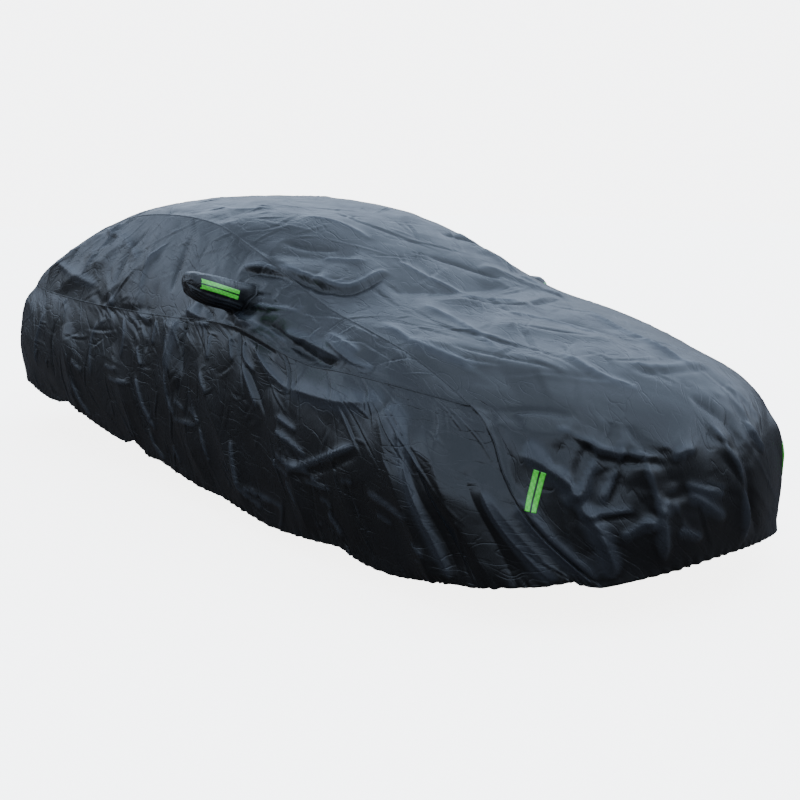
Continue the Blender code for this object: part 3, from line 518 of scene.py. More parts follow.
CREASES = (
    # start x, y, z       middle x, y, z        end x, y, z         width  height
    (-0.48, -0.63, 1.19, -0.42, -0.70, 1.18, -0.35, -0.78, 1.17, 0.040, 0.008),   # front slope
    (-0.72, -0.33, 1.12, -0.655, -0.60, 1.11, -0.59, -0.86, 1.06, 0.046, -0.016),
    (-0.62, -0.76, 1.08, -0.53, -0.915, 1.06, -0.32, -0.895, 1.12, 0.046, -0.015),
    (-0.71, -0.30, 1.14, -0.64, -0.57, 1.14, -0.575, -0.81, 1.09, 0.040, 0.014),
    (-0.60, -0.72, 1.11, -0.52, -0.885, 1.08, -0.31, -0.865, 1.14, 0.040, 0.014),
    (-0.53, -0.38, 1.25, -0.49, -0.52, 1.23, -0.39, -0.63, 1.22, 0.036, -0.007),
    (-0.61, -0.13, 1.26, -0.62, -0.26, 1.22, -0.62, -0.44, 1.17, 0.034, -0.008),
    (-0.34, -0.24, 1.36, -0.24, -0.42, 1.33, -0.20, -0.62, 1.26, 0.040, 0.006),
    (-0.36, -1.16, 1.03, -0.37, -1.42, 0.97, -0.45, -1.75, 0.90, 0.040, 0.008),   # front deck
    (-0.22, -1.57, 0.96, -0.11, -1.72, 0.94, 0.00, -1.82, 0.92, 0.040, -0.008),
    (-0.56, -1.58, 0.91, -0.48, -1.79, 0.88, -0.40, -2.00, 0.84, 0.040, -0.009),
    (-0.60, -1.21, 0.97, -0.63, -1.50, 0.91, -0.59, -1.79, 0.86, 0.044, 0.009),
    (-0.69, -1.92, 0.74, -0.57, -2.08, 0.74, -0.50, -2.17, 0.72, 0.036, -0.010),
    (-0.28, -1.88, 0.90, -0.29, -2.09, 0.84, -0.23, -2.23, 0.80, 0.044, 0.009),
    (0.31, -1.47, 0.97, 0.20, -1.85, 0.91, 0.14, -2.15, 0.84, 0.044, 0.010),
    (-0.16, -2.13, 0.85, -0.02, -2.18, 0.83, 0.24, -2.18, 0.82, 0.040, -0.008),
    (-0.14, -2.08, 0.86, -0.01, -2.14, 0.84, 0.26, -2.13, 0.83, 0.045, 0.008),
    (0.02, -1.50, 0.98, 0.12, -1.70, 0.95, 0.10, -1.96, 0.90, 0.036, -0.006),
    (-0.10, -1.38, 0.99, 0.02, -1.60, 0.96, 0.06, -1.84, 0.92, 0.036, 0.007),
    (-0.57, -2.14, 0.69, -0.47, -2.27, 0.62, -0.30, -2.40, 0.60, 0.040, 0.012),   # nose
    (-0.56, -2.16, 0.66, -0.46, -2.29, 0.59, -0.29, -2.40, 0.57, 0.034, -0.011),
    (-0.27, -2.41, 0.58, -0.24, -2.41, 0.61, -0.16, -2.42, 0.61, 0.034, 0.008),
    (-0.42, -2.27, 0.71, -0.44, -2.28, 0.68, -0.48, -2.29, 0.64, 0.032, -0.008),
    (-0.69, -2.09, 0.62, -0.61, -2.23, 0.54, -0.58, -2.27, 0.46, 0.036, 0.014),
    (-0.60, -2.26, 0.50, -0.52, -2.33, 0.34, -0.47, -2.34, 0.18, 0.036, 0.014),
    (-0.52, -2.20, 0.70, -0.59, -2.20, 0.63, -0.64, -2.19, 0.56, 0.034, -0.009),
    (-0.38, -2.35, 0.62, -0.35, -2.41, 0.48, -0.28, -2.41, 0.22, 0.032, 0.011),
    (0.06, -2.42, 0.64, 0.10, -2.46, 0.50, 0.17, -2.45, 0.28, 0.032, -0.010),
    (-0.06, -2.31, 0.77, 0.02, -2.39, 0.70, 0.10, -2.44, 0.60, 0.034, -0.009),
    (-0.38, -2.30, 0.70, -0.36, -2.35, 0.64, -0.30, -2.40, 0.60, 0.034, -0.009),
    (-0.48, -2.26, 0.64, -0.52, -2.26, 0.56, -0.57, -2.26, 0.47, 0.034, 0.012),   # turned-over band
    (-0.42, -2.31, 0.63, -0.46, -2.32, 0.54, -0.51, -2.31, 0.45, 0.034, 0.012),
    (-0.40, -2.32, 0.64, -0.44, -2.33, 0.55, -0.49, -2.33, 0.44, 0.030, -0.010),
    (-0.51, -2.24, 0.64, -0.55, -2.24, 0.56, -0.60, -2.24, 0.47, 0.030, -0.010),
    (-0.57, -2.27, 0.42, -0.50, -2.31, 0.42, -0.40, -2.37, 0.43, 0.036, 0.010),
    (-0.57, -2.28, 0.40, -0.50, -2.32, 0.40, -0.40, -2.38, 0.41, 0.030, -0.008),
    (-0.46, -2.36, 0.33, -0.40, -2.39, 0.37, -0.36, -2.41, 0.40, 0.034, 0.010),
    (-0.37, -2.41, 0.40, -0.36, -2.41, 0.37, -0.35, -2.41, 0.35, 0.034, 0.009),
    (-0.22, -2.45, 0.47, -0.12, -2.46, 0.41, -0.01, -2.46, 0.34, 0.036, 0.009),
    (-0.23, -2.44, 0.50, -0.14, -2.46, 0.47, -0.02, -2.47, 0.44, 0.036, 0.009),
    (-0.32, -2.42, 0.40, -0.31, -2.42, 0.43, -0.30, -2.43, 0.46, 0.032, 0.008),
    (-0.25, -2.44, 0.34, -0.20, -2.44, 0.32, -0.12, -2.45, 0.29, 0.034, 0.008),
    (-0.08, -2.40, 0.68, -0.05, -2.43, 0.63, 0.05, -2.45, 0.57, 0.034, -0.009),
    (-0.07, -2.39, 0.69, 0.05, -2.46, 0.48, 0.15, -2.43, 0.22, 0.040, 0.012),
    (-0.07, -2.44, 0.60, 0.09, -2.46, 0.42, 0.26, -2.42, 0.22, 0.034, -0.010),
    (0.15, -2.40, 0.67, 0.18, -2.42, 0.62, 0.25, -2.43, 0.54, 0.036, 0.010),
    (-0.71, -1.99, 0.70, -0.72, -2.06, 0.60, -0.72, -2.14, 0.43, 0.045, -0.018),  # beside the strip
    (-0.74, -2.09, 0.52, -0.66, -2.21, 0.33, -0.52, -2.32, 0.18, 0.040, 0.016),
    (-0.67, -2.09, 0.66, -0.61, -2.22, 0.54, -0.57, -2.28, 0.46, 0.040, 0.013),
    (-0.56, -2.29, 0.43, -0.52, -2.32, 0.34, -0.46, -2.35, 0.20, 0.040, 0.012),
    (0.24, -0.57, 1.27, 0.38, -0.62, 1.23, 0.44, -0.75, 1.16, 0.036, -0.008),     # front slope, left
    (-0.02, -0.79, 1.19, 0.13, -0.92, 1.13, 0.23, -1.03, 1.08, 0.036, -0.009),
    (0.40, -0.95, 1.09, 0.44, -1.05, 1.06, 0.40, -1.24, 1.00, 0.040, 0.010),
    (-0.20, -0.82, 1.17, -0.15, -0.97, 1.11, -0.06, -1.14, 1.05, 0.036, 0.007),
    (-0.16, -1.22, 1.02, -0.08, -1.30, 1.01, 0.08, -1.35, 1.00, 0.036, -0.010),
    (0.08, -1.35, 1.00, 0.20, -1.33, 1.00, 0.33, -1.29, 1.00, 0.036, -0.009),
    (-0.16, -1.17, 1.04, -0.07, -1.25, 1.02, 0.10, -1.30, 1.01, 0.045, 0.011),
    (-0.45, 0.46, 1.39, -0.43, 0.14, 1.38, -0.32, -0.03, 1.39, 0.040, 0.005),     # top
    (-0.30, 0.90, 1.42, -0.12, 0.40, 1.43, -0.20, 0.05, 1.42, 0.040, 0.005),
    (0.20, 1.10, 1.40, 0.28, 0.60, 1.42, 0.16, 0.20, 1.42, 0.040, 0.005),
    (-0.75, -0.36, 1.08, -0.74, -0.45, 1.08, -0.73, -0.55, 1.07, 0.030, -0.008),
    (-0.78, -0.49, 1.04, -0.76, -0.56, 1.045, -0.74, -0.66, 1.05, 0.030, -0.009),
    (-0.80, -0.53, 1.01, -0.77, -0.65, 1.01, -0.73, -0.83, 1.00, 0.032, -0.009),
    (-0.80, -0.56, 0.99, -0.78, -0.68, 0.99, -0.74, -0.86, 0.98, 0.036, 0.010),
    (-0.84, -0.40, 0.97, -0.855, -0.65, 0.91, -0.85, -0.87, 0.86, 0.040, 0.012),
    (-0.86, -0.40, 0.93, -0.885, -0.65, 0.87, -0.87, -0.87, 0.82, 0.036, -0.011),
    (-0.82, -0.84, 0.91, -0.81, -1.05, 0.88, -0.82, -1.25, 0.84, 0.038, 0.012),
    (-0.84, -0.84, 0.87, -0.83, -1.05, 0.84, -0.84, -1.25, 0.80, 0.036, -0.010),
    (-0.81, -0.39, 1.005, -0.78, -0.64, 1.005, -0.72, -0.85, 1.005, 0.032, 0.007),
    (-0.83, -0.39, 0.975, -0.80, -0.64, 0.975, -0.74, -0.85, 0.975, 0.030, -0.008),
    (-0.76, -1.07, 0.915, -0.77, -1.19, 0.895, -0.78, -1.31, 0.875, 0.030, 0.009),
    (-0.86, -0.60, 0.93, -0.84, -0.72, 0.92, -0.85, -0.98, 0.84, 0.036, 0.010),
    (-0.86, -0.62, 0.91, -0.85, -0.76, 0.89, -0.86, -0.96, 0.83, 0.030, -0.012),
    (-0.85, -0.62, 0.95, -0.83, -0.82, 0.91, -0.84, -1.10, 0.84, 0.032, -0.012),
    (-0.83, -0.80, 0.93, -0.83, -0.98, 0.88, -0.83, -1.20, 0.83, 0.036, 0.012),
    (-0.82, -0.90, 0.89, -0.825, -1.06, 0.86, -0.83, -1.23, 0.82, 0.030, -0.008),
    (-0.78, -1.09, 0.90, -0.81, -1.30, 0.84, -0.80, -1.42, 0.83, 0.034, 0.010),
    (-0.85, -0.05, 0.94, -0.86, -0.20, 0.91, -0.87, -0.31, 0.89, 0.034, 0.012),
    (-0.84, -0.16, 0.98, -0.85, -0.25, 0.95, -0.86, -0.34, 0.91, 0.030, -0.010),
    (-0.80, 0.02, 1.04, -0.82, -0.12, 1.01, -0.83, -0.26, 0.99, 0.034, 0.009),
    (-0.60, 1.39, 1.24, -0.69, 0.94, 1.22, -0.77, 0.58, 1.11, 0.045, 0.010),
    (-0.59, 1.29, 1.27, -0.67, 1.42, 1.18, -0.78, 1.51, 1.02, 0.040, -0.009),
    (-0.60, 1.12, 1.29, -0.72, 1.12, 1.17, -0.81, 1.19, 1.00, 0.040, 0.010),
    (-0.64, 0.72, 1.29, -0.73, 0.77, 1.16, -0.84, 0.77, 0.95, 0.040, -0.008),
    (-0.74, 1.70, 1.04, -0.81, 1.29, 1.00, -0.83, 1.00, 0.97, 0.045, 0.012),
    (-0.69, 0.40, 1.22, -0.76, 0.48, 1.12, -0.83, 0.47, 0.98, 0.040, 0.009),
    (-0.66, 0.24, 1.26, -0.74, 0.20, 1.14, -0.82, 0.14, 0.99, 0.036, -0.007),
)

CRUMPLES = (
    # x, y, z of the middle of a crushed patch, its radius, and the height of its creases
    (-0.86, -0.16, 0.91, 0.10, 0.9),   # behind and below the mirror pocket
    (-0.85, -0.58, 0.92, 0.08, 0.9),   # below its gather
    (-0.79, -0.08, 1.09, 0.08, 0.7),   # behind its top
    (-0.87, 0.36, 0.86, 0.13, 0.8),    # along the belt seam
    (-0.87, 0.78, 0.87, 0.15, 0.8),
    (-0.70, 1.10, 1.19, 0.20, 0.7),    # rear quarter
    (-0.72, 0.55, 1.16, 0.12, 0.5),
    (-0.70, -1.94, 0.74, 0.10, 0.8),   # at the front tip of the upper panel
    (-0.47, -2.28, 0.65, 0.07, 0.9),   # above the turned-over band
    (-0.30, -2.42, 0.45, 0.10, 0.8),   # middle of the nose
    (0.16, -2.40, 0.64, 0.14, 0.7),
    (-0.62, -0.66, 1.10, 0.10, 0.6),   # below the sag of the front slope
    (0.44, -0.75, 1.16, 0.12, 0.5),
    (0.86, 0.30, 0.88, 0.16, 0.8),     # left side
    (0.86, -0.60, 0.92, 0.10, 0.9),
    (0.74, 1.15, 1.14, 0.20, 0.6),
)
CRUMPLE_FINENESS = 3.4        # a crushed patch is creased this much more finely than the rest
CRUMPLE_HEIGHT = 1.5          # and its facets are this many times the height of the others


def crumpled(form, length, depth, rng):
    """Fine facets in the crushed patches, each fading as exp(-(distance / radius)^2)."""
    share = np.zeros(length.shape)
    for row in CRUMPLES:
        away = np.linalg.norm(form - (np.array(row[:3]) - HOLD_POINT), axis=-1)
        share += row[4] * np.exp(-(away / row[3])**2)
    return facets(length * CRUMPLE_FINENESS, depth * CRUMPLE_FINENESS, rng, CRUMPLE_HEIGHT) * share


SIDE_VIEW = (0.0, 1.0, 1.0)   # drops x, so that creases placed in side view are measured there
EDGE_CELLS = 36               # mesh cells over which a panel is drawn in to an edge it is sewn to
FACET_SCALE = 0.8
# the coarse and the fine settling, and the unevenness in metres that starts each buckling
COARSE_SETTLING = {"rounds": 220, "bend": 0.10, "return_pull": 0.010}
FINE_SETTLING = {"rounds": 60, "bend": 0.05, "return_pull": 0.02}
COARSE_START, FINE_START = 0.004, 0.0012
PUCKER_REACH = 0.07           # how far from a seam its extra slack fades
FACETS_FULL, CREASES_FULL = 0.04, 0.02        # how far from a seam these have their full height
END_CALM = 3                  # mesh cells from a panel's end over which the creases fade in
FULL_WEAR = 0.006             # height of a crease whose top is worn the most


def dress_panel(form, outward, rng, slack, packing, coarse, edges=(), loose_edges=(), side_streaks=()):
    """The panel's cloth: listed folds, slack let buckle twice, then the sharp creases.

    `slack` is the spare length along and across for the coarse and the fine settling, and
    more beside the seams. Every `coarse` points take part in the first. `packing` holds the
    arguments of the scattered creases. `edges` are curves that the panel is sewn to, and
    `loose_edges` hang free. `side_streaks` are creases placed in side view.
    Returns the grid, its wear, and its places in metres of cloth.
    """
    coarse_slack, fine_slack, seam_slack = slack
    places = length, depth = thread_lengths(form)
    normals = grid_normals(form, outward)
    shape = form.shape[:2]
    held = np.ones(shape)
    held[0], held[-1], held[:, 0], held[:, -1] = 0, 0, 0, 0
    for edge in loose_edges:
        held[edge] = 1
    folded = form + normals * fold_relief(form, FOLDS, SOFT, normals)[..., None]
    folded = fit_edges(folded, edges, EDGE_CELLS)

    few = np.s_[::coarse[0], ::coarse[1]]
    rough, there = folded[few], (length[few], depth[few])
    start = rough + normals[few] * COARSE_START * uneven(there, rng, (0.08, 0.16, 0.32))[..., None]
    start = np.where(held[few][..., None] > 0, start, rough)
    patches = np.clip(1 + 0.7 * uneven(there, rng, (0.28, 0.60)), 0, None)
    broad = settle(rough, start, coarse_slack[0] * patches, coarse_slack[1] * patches,
                   held[few], **COARSE_SETTLING)
    sheet = folded + finer(broad - rough, shape)

    from_seam = np.minimum(depth, depth[:, -1:] - depth)
    sharp = facets(length, depth, rng, FACET_SCALE)
    sharp *= np.clip(from_seam / FACETS_FULL, 0, 1)
    sheet = sheet + normals * (sharp * held)[..., None]
    patches = np.clip(1 + 0.8 * uneven(places, rng, (0.17, 0.42)), 0, None)
    start = FINE_START * uneven(places, rng, (0.02, 0.04, 0.08)) * held
    start = sheet + normals * start[..., None]
    pucker = np.exp(-from_seam / PUCKER_REACH)
    sheet = settle(sheet, start, fine_slack[0] * patches + seam_slack * pucker,
                   fine_slack[1] * patches, held, **FINE_SETTLING)

    sharp = CREASE_GAIN * fold_relief(form, CREASES, SHARP, normals)
    sharp += fold_relief(form * SIDE_VIEW, side_streaks, SHARP)
    sharp += crumpled(form, length, depth, rng)
    for each in packing:
        sharp += creases(length, depth, rng, *each)
    near_seam = np.clip(from_seam / CREASES_FULL, 0, 1)
    for edge in loose_edges:
        near_seam[edge] = 1
    from_end = np.minimum(np.arange(shape[0]), np.arange(shape[0])[::-1])[:, None]
    sharp = sharp * near_seam * np.clip(from_end / END_CALM, 0, 1)
    sheet = sheet + grid_normals(sheet, outward) * sharp[..., None]
    return sheet, np.clip(sharp / FULL_WEAR, 0, 1), places


HEM_CELLS = 7                 # mesh cells round the turned hem
HEM_ROUND = 0.0035            # radius of the hem's turned edge
HEM_DEEP = 0.022              # depth of the hem's casing inside
GATHER_REACH = 0.055          # how far above the hem its gathers fade out
GATHER_PITCH = 0.052          # mean distance between gathers
GATHER_HIGH = 0.0024          # their mean height at the hem
GATHER_UNEVEN, GATHER_LEAN = 1.6, 9           # how much their pitch varies, and how much they lean
GATHER_ENDS = 0.05            # how far from a corner seam they start


def hem_turned(sheet, outward, rng):
    """The sheet with its last column gathered and turned in and up, as over an elastic cord.

    Gathers lift the cloth by a wave of uneven pitch that fades with the square of the height
    over the hem. Then come a half round of HEM_ROUND and a flat run of HEM_DEEP inside.
    """
    normals = grid_normals(sheet, outward)
    step = np.linalg.norm(np.diff(sheet[:, -1], axis=0), axis=-1)
    place = np.concatenate([[0.0], np.cumsum(step)])[:, None]
    above = np.linalg.norm(sheet - sheet[:, -1:], axis=-1)
    bend = uneven((place, place * 0), rng, (0.05, 0.13))
    size = np.clip(0.9 + 0.5 * uneven((place, place * 0), rng, (0.09, 0.3)), 0.2, 1.8)
    wave = np.sin(2 * np.pi * place / GATHER_PITCH + GATHER_UNEVEN * bend + GATHER_LEAN * above)
    fade = np.clip(1 - above / GATHER_REACH, 0, 1)**2
    ends = np.clip(np.minimum(place, place[-1] - place) / GATHER_ENDS, 0, 1)
    sheet = sheet + normals * (GATHER_HIGH * wave * size * fade * ends)[..., None]
    edge = sheet[:, -1]
    down = unit(edge - sheet[:, -3])
    inward = -normals[:, -1]
    turn = np.linspace(0, np.pi, HEM_CELLS - 1)[1:]
    added = [edge + HEM_ROUND * (np.sin(each) * down + (1 - np.cos(each)) * inward) for each in turn]
    added += [added[-1] - down * HEM_DEEP * share for share in (0.5, 1.0)]
    return np.concatenate([sheet, np.stack(added, axis=1)], axis=1)


HEM_SPACING = 0.006           # cloth between two of the hem's added columns


def hem_places(places):
    """The cloth's places with those of the hem's added columns, HEM_SPACING apart."""
    length, depth = places
    more = depth[:, -1:] + HEM_SPACING * np.arange(1, HEM_CELLS + 1)
    return np.hstack([length, np.repeat(length[:, -1:], HEM_CELLS, axis=1)]), np.hstack([depth, more])


SEED = 41
CENTRE_SLACK = ((0.004, 0.003), (0.003, 0.002), 0.012)
CENTRE_PACKING = (
    # count, lean, spread, reach, width, height
    (220, 0.6, 0.9, 0.24, 0.008, 0.0046),
    (140, 1.57, 0.5, 0.18, 0.008, 0.0040),
    (110, -0.5, 0.4, 0.36, 0.009, 0.0056),
)
dice = np.random.default_rng(SEED)
centre_grid, centre_wear, centre_places = dress_panel(
    centre_form(), -1, dice, CENTRE_SLACK, CENTRE_PACKING, coarse=(3, 3),
    loose_edges=(np.s_[0, 1:-1], np.s_[-1, 1:-1]))
# the hem is turned on both ends, so the panel is laid on its side for it, one end at a time
hemmed, hemmed_places = centre_grid, centre_places
for outward in (1, -1):
    tipped = hem_turned(hemmed.swapaxes(0, 1), outward, dice)
    tipped_places = hem_places([place.T for place in hemmed_places[::-1]])
    hemmed = tipped.swapaxes(0, 1)[::-1]
    hemmed_places = [place.T[::-1] for place in tipped_places[::-1]]
centre_wear = np.pad(centre_wear, ((HEM_CELLS, HEM_CELLS), (0, 0)))
centre_cloth = add_cloth("centre_panel_cloth", hemmed, True, black_cloth, hemmed_places, centre_wear)
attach(centre_cloth, "root")
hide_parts("centre_panel")

# ---------------------------------------------------------------------------------------
# The upper side panels: a long crescent of the same cloth on each side, between the long
# seam above and the belt seam below. Each is sewn to the centre panel along its whole top
# edge and comes to a point at both ends.
# ---------------------------------------------------------------------------------------
SIDE_ROWS = (
    # belt seam x, y, z      shoulder x, y, z        belly x, y, z          hem x, y, z
    (.714, -1.866, .746, .735, -2.010, .650, .730, -2.120, .480, .520, -2.330, .160),
    (.790, -1.640, .780, .850, -1.740, .670, .880, -1.900, .470, .780, -2.080, .150),
    (.830, -1.360, .800, .895, -1.420, .690, .930, -1.540, .480, .865, -1.700, .115),
    (.860, -0.980, .815, .910, -1.020, .700, .935, -1.100, .480, .895, -1.220, .095),
    (.875, -0.500, .905, .915, -0.530, .750, .930, -0.570, .480, .895, -0.650, .090),
    (.875, 0.000, .895, .910, -0.010, .740, .925, -0.030, .480, .890, -0.070, .120),
    (.870, 0.500, .880, .905, 0.505, .730, .925, 0.520, .490, .890, 0.520, .170),
    (.860, 1.000, .875, .905, 1.010, .730, .930, 1.040, .510, .895, 1.060, .215),
    (.840, 1.480, .880, .895, 1.500, .740, .920, 1.530, .530, .885, 1.560, .255),
    (.808, 1.820, .888, .868, 1.860, .755, .898, 1.920, .550, .865, 1.950, .285),
    (.757, 2.040, .892, .808, 2.120, .765, .828, 2.190, .555, .785, 2.215, .285),
    (.695, 2.165, .891, .715, 2.280, .760, .712, 2.340, .560, .640, 2.350, .270),
)
UPPER_CELLS = 45
SIDE_CELLS = 2 * LONG_CELLS   # mesh cells along a side panel, twice as fine as the centre's
UPPER_BULGE = 0.22            # outward swell of the panel, as a share of its width
TIP_WIDTH = 0.004             # its width at its two points


def read_along(line, cells):
    """The line's points read again at even steps, by a smooth curve."""
    return along(line, np.linspace(0, len(line) - 1, cells + 1))


def side_lines():
    """The belt, shoulder, belly and hem lines of the left side, front to rear."""
    return read_along(SIDE_ROWS, SIDE_CELLS).reshape(SIDE_CELLS + 1, 4, 3) - HOLD_POINT


def upper_form(top, mirror):
    """Straight from the top seam to the belt seam, swelled outward by 4 t (1 - t) between them."""
    belt = side_lines()[:, 0] * (mirror, 1, 1)
    belt[0] = top[0] + TIP_WIDTH * unit(belt[1] - top[1])
    belt[-1] = top[-1] + TIP_WIDTH * unit(belt[-2] - top[-2])
    t = np.linspace(0, 1, UPPER_CELLS + 1)[None, :, None]
    outward = unit(np.cross(belt - top, np.gradient(top, axis=0)))
    outward *= np.sign(outward[:, :1]) * mirror
    swell = UPPER_BULGE * np.linalg.norm(belt - top, axis=1)[:, None, None]
    return top[:, None] + (belt - top)[:, None] * t + outward[:, None] * swell * t * (1 - t)


SIDES = (("right", -1), ("left", 1))
SEAM_EDGE = {"right": 0, "left": -1}          # the centre panel's first and last column
smooth_seam = centre_form()
long_part = np.s_[END_CELLS:END_CELLS + LONG_CELLS + 1]

# where the mirror pocket is let into the panel, an oval in side view
BASE_Y, BASE_Z = -0.454, 1.014
BASE_LONG, BASE_HIGH = 0.074, 0.062
HOLE_SHARE = 0.93             # the hole is this share of the oval, so the pocket laps over it
UPPER_SLACK = ((0.007, 0.005), (0.005, 0.004), 0.016)
UPPER_PACKING = (
    # count, lean, spread, reach, width, height
    (130, 0.5, 0.5, 0.24, 0.006, 0.0050),
    (110, -0.6, 0.8, 0.16, 0.006, 0.0044),
)


def outside_hole(grid):
    """Which faces of a panel's grid lie outside the hole, by their middles in side view."""
    middles = (grid[1:, 1:] + grid[:-1, :-1]) / 2 + HOLD_POINT
    oval = ((middles[..., 1] - BASE_Y) / BASE_LONG)**2 + ((middles[..., 2] - BASE_Z) / BASE_HIGH)**2
    return oval > HOLE_SHARE**2


upper = {}
for side_name, mirror in SIDES:
    smooth_top = read_along(smooth_seam[long_part, SEAM_EDGE[side_name]], SIDE_CELLS)
    sewn_top = read_along(centre_grid[long_part, SEAM_EDGE[side_name]], SIDE_CELLS)
    grid, wear, places = dress_panel(
        upper_form(smooth_top, mirror), -mirror, dice, UPPER_SLACK, UPPER_PACKING, coarse=(6, 3),
        edges=((1, False, sewn_top),))
    upper[side_name] = grid
    cloth = add_cloth(f"upper_side_{side_name}_cloth", grid, mirror > 0, black_cloth, places, wear,
                      kept=outside_hole(grid))
    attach(cloth, "root")
    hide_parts(f"upper_side_{side_name}")

# ---------------------------------------------------------------------------------------
# The mirror pockets: a small bag of the same cloth on each side. Its mouth is sewn round an
# oval hole in the upper panel. The right one stands out stiffly, with its slack gathered
# below; the left one hangs a little limp.
# ---------------------------------------------------------------------------------------
POCKET_ROWS = (
    # x out, y middle, z middle, half length, half height, share of the squared oval
    (0.850, -0.466, 1.034, 0.077, 0.064, 0.60),
    (0.920, -0.481, 1.056, 0.083, 0.066, 0.92),
    (0.990, -0.494, 1.074, 0.089, 0.066, 1.00),
    (1.045, -0.497, 1.092, 0.083, 0.057, 1.00),
    (1.075, -0.495, 1.102, 0.062, 0.041, 1.00),
    (1.086, -0.494, 1.106, 0.026, 0.017, 1.00),
    (1.089, -0.494, 1.107, 0.002, 0.002, 1.00),
)
POCKET_HANG = {
    # share of its reach, drop at the root, droop and backward sweep per metre outward
    "right": (1.00, 0.000, 0.00, 0.00),
    "left": (0.80, 0.075, 0.35, 0.15),
}
POCKET_SQUARENESS = 0.95      # power of the oval's cosine and sine; less than 1 squares it up
POCKET_RINGS, POCKET_AROUND = 60, 120
POCKET_LAP = 0.0018           # how far the mouth's edge stands off the panel
POCKET_FOLDS = (
    # turn at the root, turn at the tip, from, to (shares of the reach), width in turns, height
    (0.585, 0.57, 0.05, 0.90, 0.024, 0.007),
    (0.620, 0.60, 0.00, 0.85, 0.024, 0.008),
    (0.665, 0.63, 0.00, 0.80, 0.026, 0.009),
    (0.715, 0.67, 0.00, 0.75, 0.026, 0.008),
    (0.780, 0.74, 0.00, 0.70, 0.028, 0.007),
    (0.860, 0.84, 0.05, 0.80, 0.030, 0.006),
    (0.330, 0.38, 0.00, 0.60, 0.030, 0.004),
    (0.180, 0.20, 0.00, 0.70, 0.035, 0.004),
)


def fuller(wave):
    """A cosine or sine raised to less than its first power, which squares an oval up."""
    return np.sign(wave) * np.abs(wave)**POCKET_SQUARENESS


NEAR_CLOTH, FAR_CLOTH = 0.15, 0.60            # how far behind and ahead of points cloth is sought
FACING = -0.05                # cloth counts where its normal along aim is below this


def on_cloth(points, grid, normals, aim, reach):
    """The points moved along aim until they lie on the cloth that faces them.

    The cloth's depth along aim is the mean over its points near the line, each weighted by
    exp(-(distance / reach)^2), counting only cloth whose outer side faces against aim.
    """
    aim = unit(np.asarray(aim, float))
    flat = points.reshape(-1, 3)
    middle = flat.mean(axis=0)
    spread = np.linalg.norm(flat - middle, axis=-1).max() + 4 * reach
    ahead = (grid - middle) @ aim
    aside = np.linalg.norm(grid - middle - ahead[..., None] * aim, axis=-1)
    near = (aside < spread) & (ahead > -NEAR_CLOTH) & (ahead < FAR_CLOTH) & (normals @ aim < FACING)
    cloth = grid[near]
    gap = flat[:, None] - cloth[None]
    ahead = gap @ aim
    aside = np.clip((gap**2).sum(axis=-1) - ahead**2, 0, None)
    weight = np.exp(-aside / reach**2) + 1e-30
    move = (weight * -ahead).sum(axis=1) / weight.sum(axis=1)
    return points + move.reshape(points.shape[:-1])[..., None] * aim


def pocket_form(mouth, side_name, mirror):
    """Rings from the mouth out to the tip.

    A ring is its middle plus the mouth's own outline, changing over into an oval
    (0, half length cos'(a), half height sin'(a)), where cos' and sin' are squared up.
    """
    reach, drop, droop, sweep = POCKET_HANG[side_name]
    rows = np.array(POCKET_ROWS)
    out = (rows[:, 0] - rows[0, 0]) * reach
    rows[:, 0] = (rows[0, 0] + out) * mirror
    rows[:, 1] += sweep * out
    rows[:, 2] -= drop + droop * out
    rows[:, :3] -= HOLD_POINT
    middle = mouth.mean(axis=0)
    rows = np.vstack([(*middle, BASE_LONG, BASE_HIGH, 0.0), rows])
    rings = along(rows, (len(rows) - 1) * np.linspace(0, 1, POCKET_RINGS + 1))
    x, y, z, half_long, half_high, share = rings.T[:, :, None]
    angle = 2 * np.pi * np.arange(POCKET_AROUND)[None, :] / POCKET_AROUND
    share = np.clip(share, 0, 1)[..., None]
    middles = np.stack(np.broadcast_arrays(x, y, z, angle)[:3], axis=-1)
    high = half_high * fuller(np.sin(angle))
    oval = np.stack([np.zeros(high.shape), half_long * fuller(np.cos(angle)), high], axis=-1)
    return middles + (mouth - middle)[None] * (1 - share) + oval * share


def round_normals(grid, outward):
    """Unit normals of a grid whose last column meets its first."""
    wide = np.concatenate([grid[:, -2:], grid, grid[:, :2]], axis=1)
    return grid_normals(wide, outward)[:, 2:-2]


POCKET_UNEVEN = 0.0016        # height of the pocket's random unevenness
FOLD_SOFTNESS = 0.15          # share of the reach over which a pocket's fold fades in and out
MOUTH_CALM, TIP_CALM = 0.06, 0.25             # shares of the reach where folds fade at its ends
MOUTH_START = 0.80            # where the mouth's outline starts, before it is laid on the panel
PANEL_REACH = 0.006           # how far round a point the panel's place is averaged
POCKET_FULL_WEAR = 0.008      # height of a pocket's fold whose top is worn the most

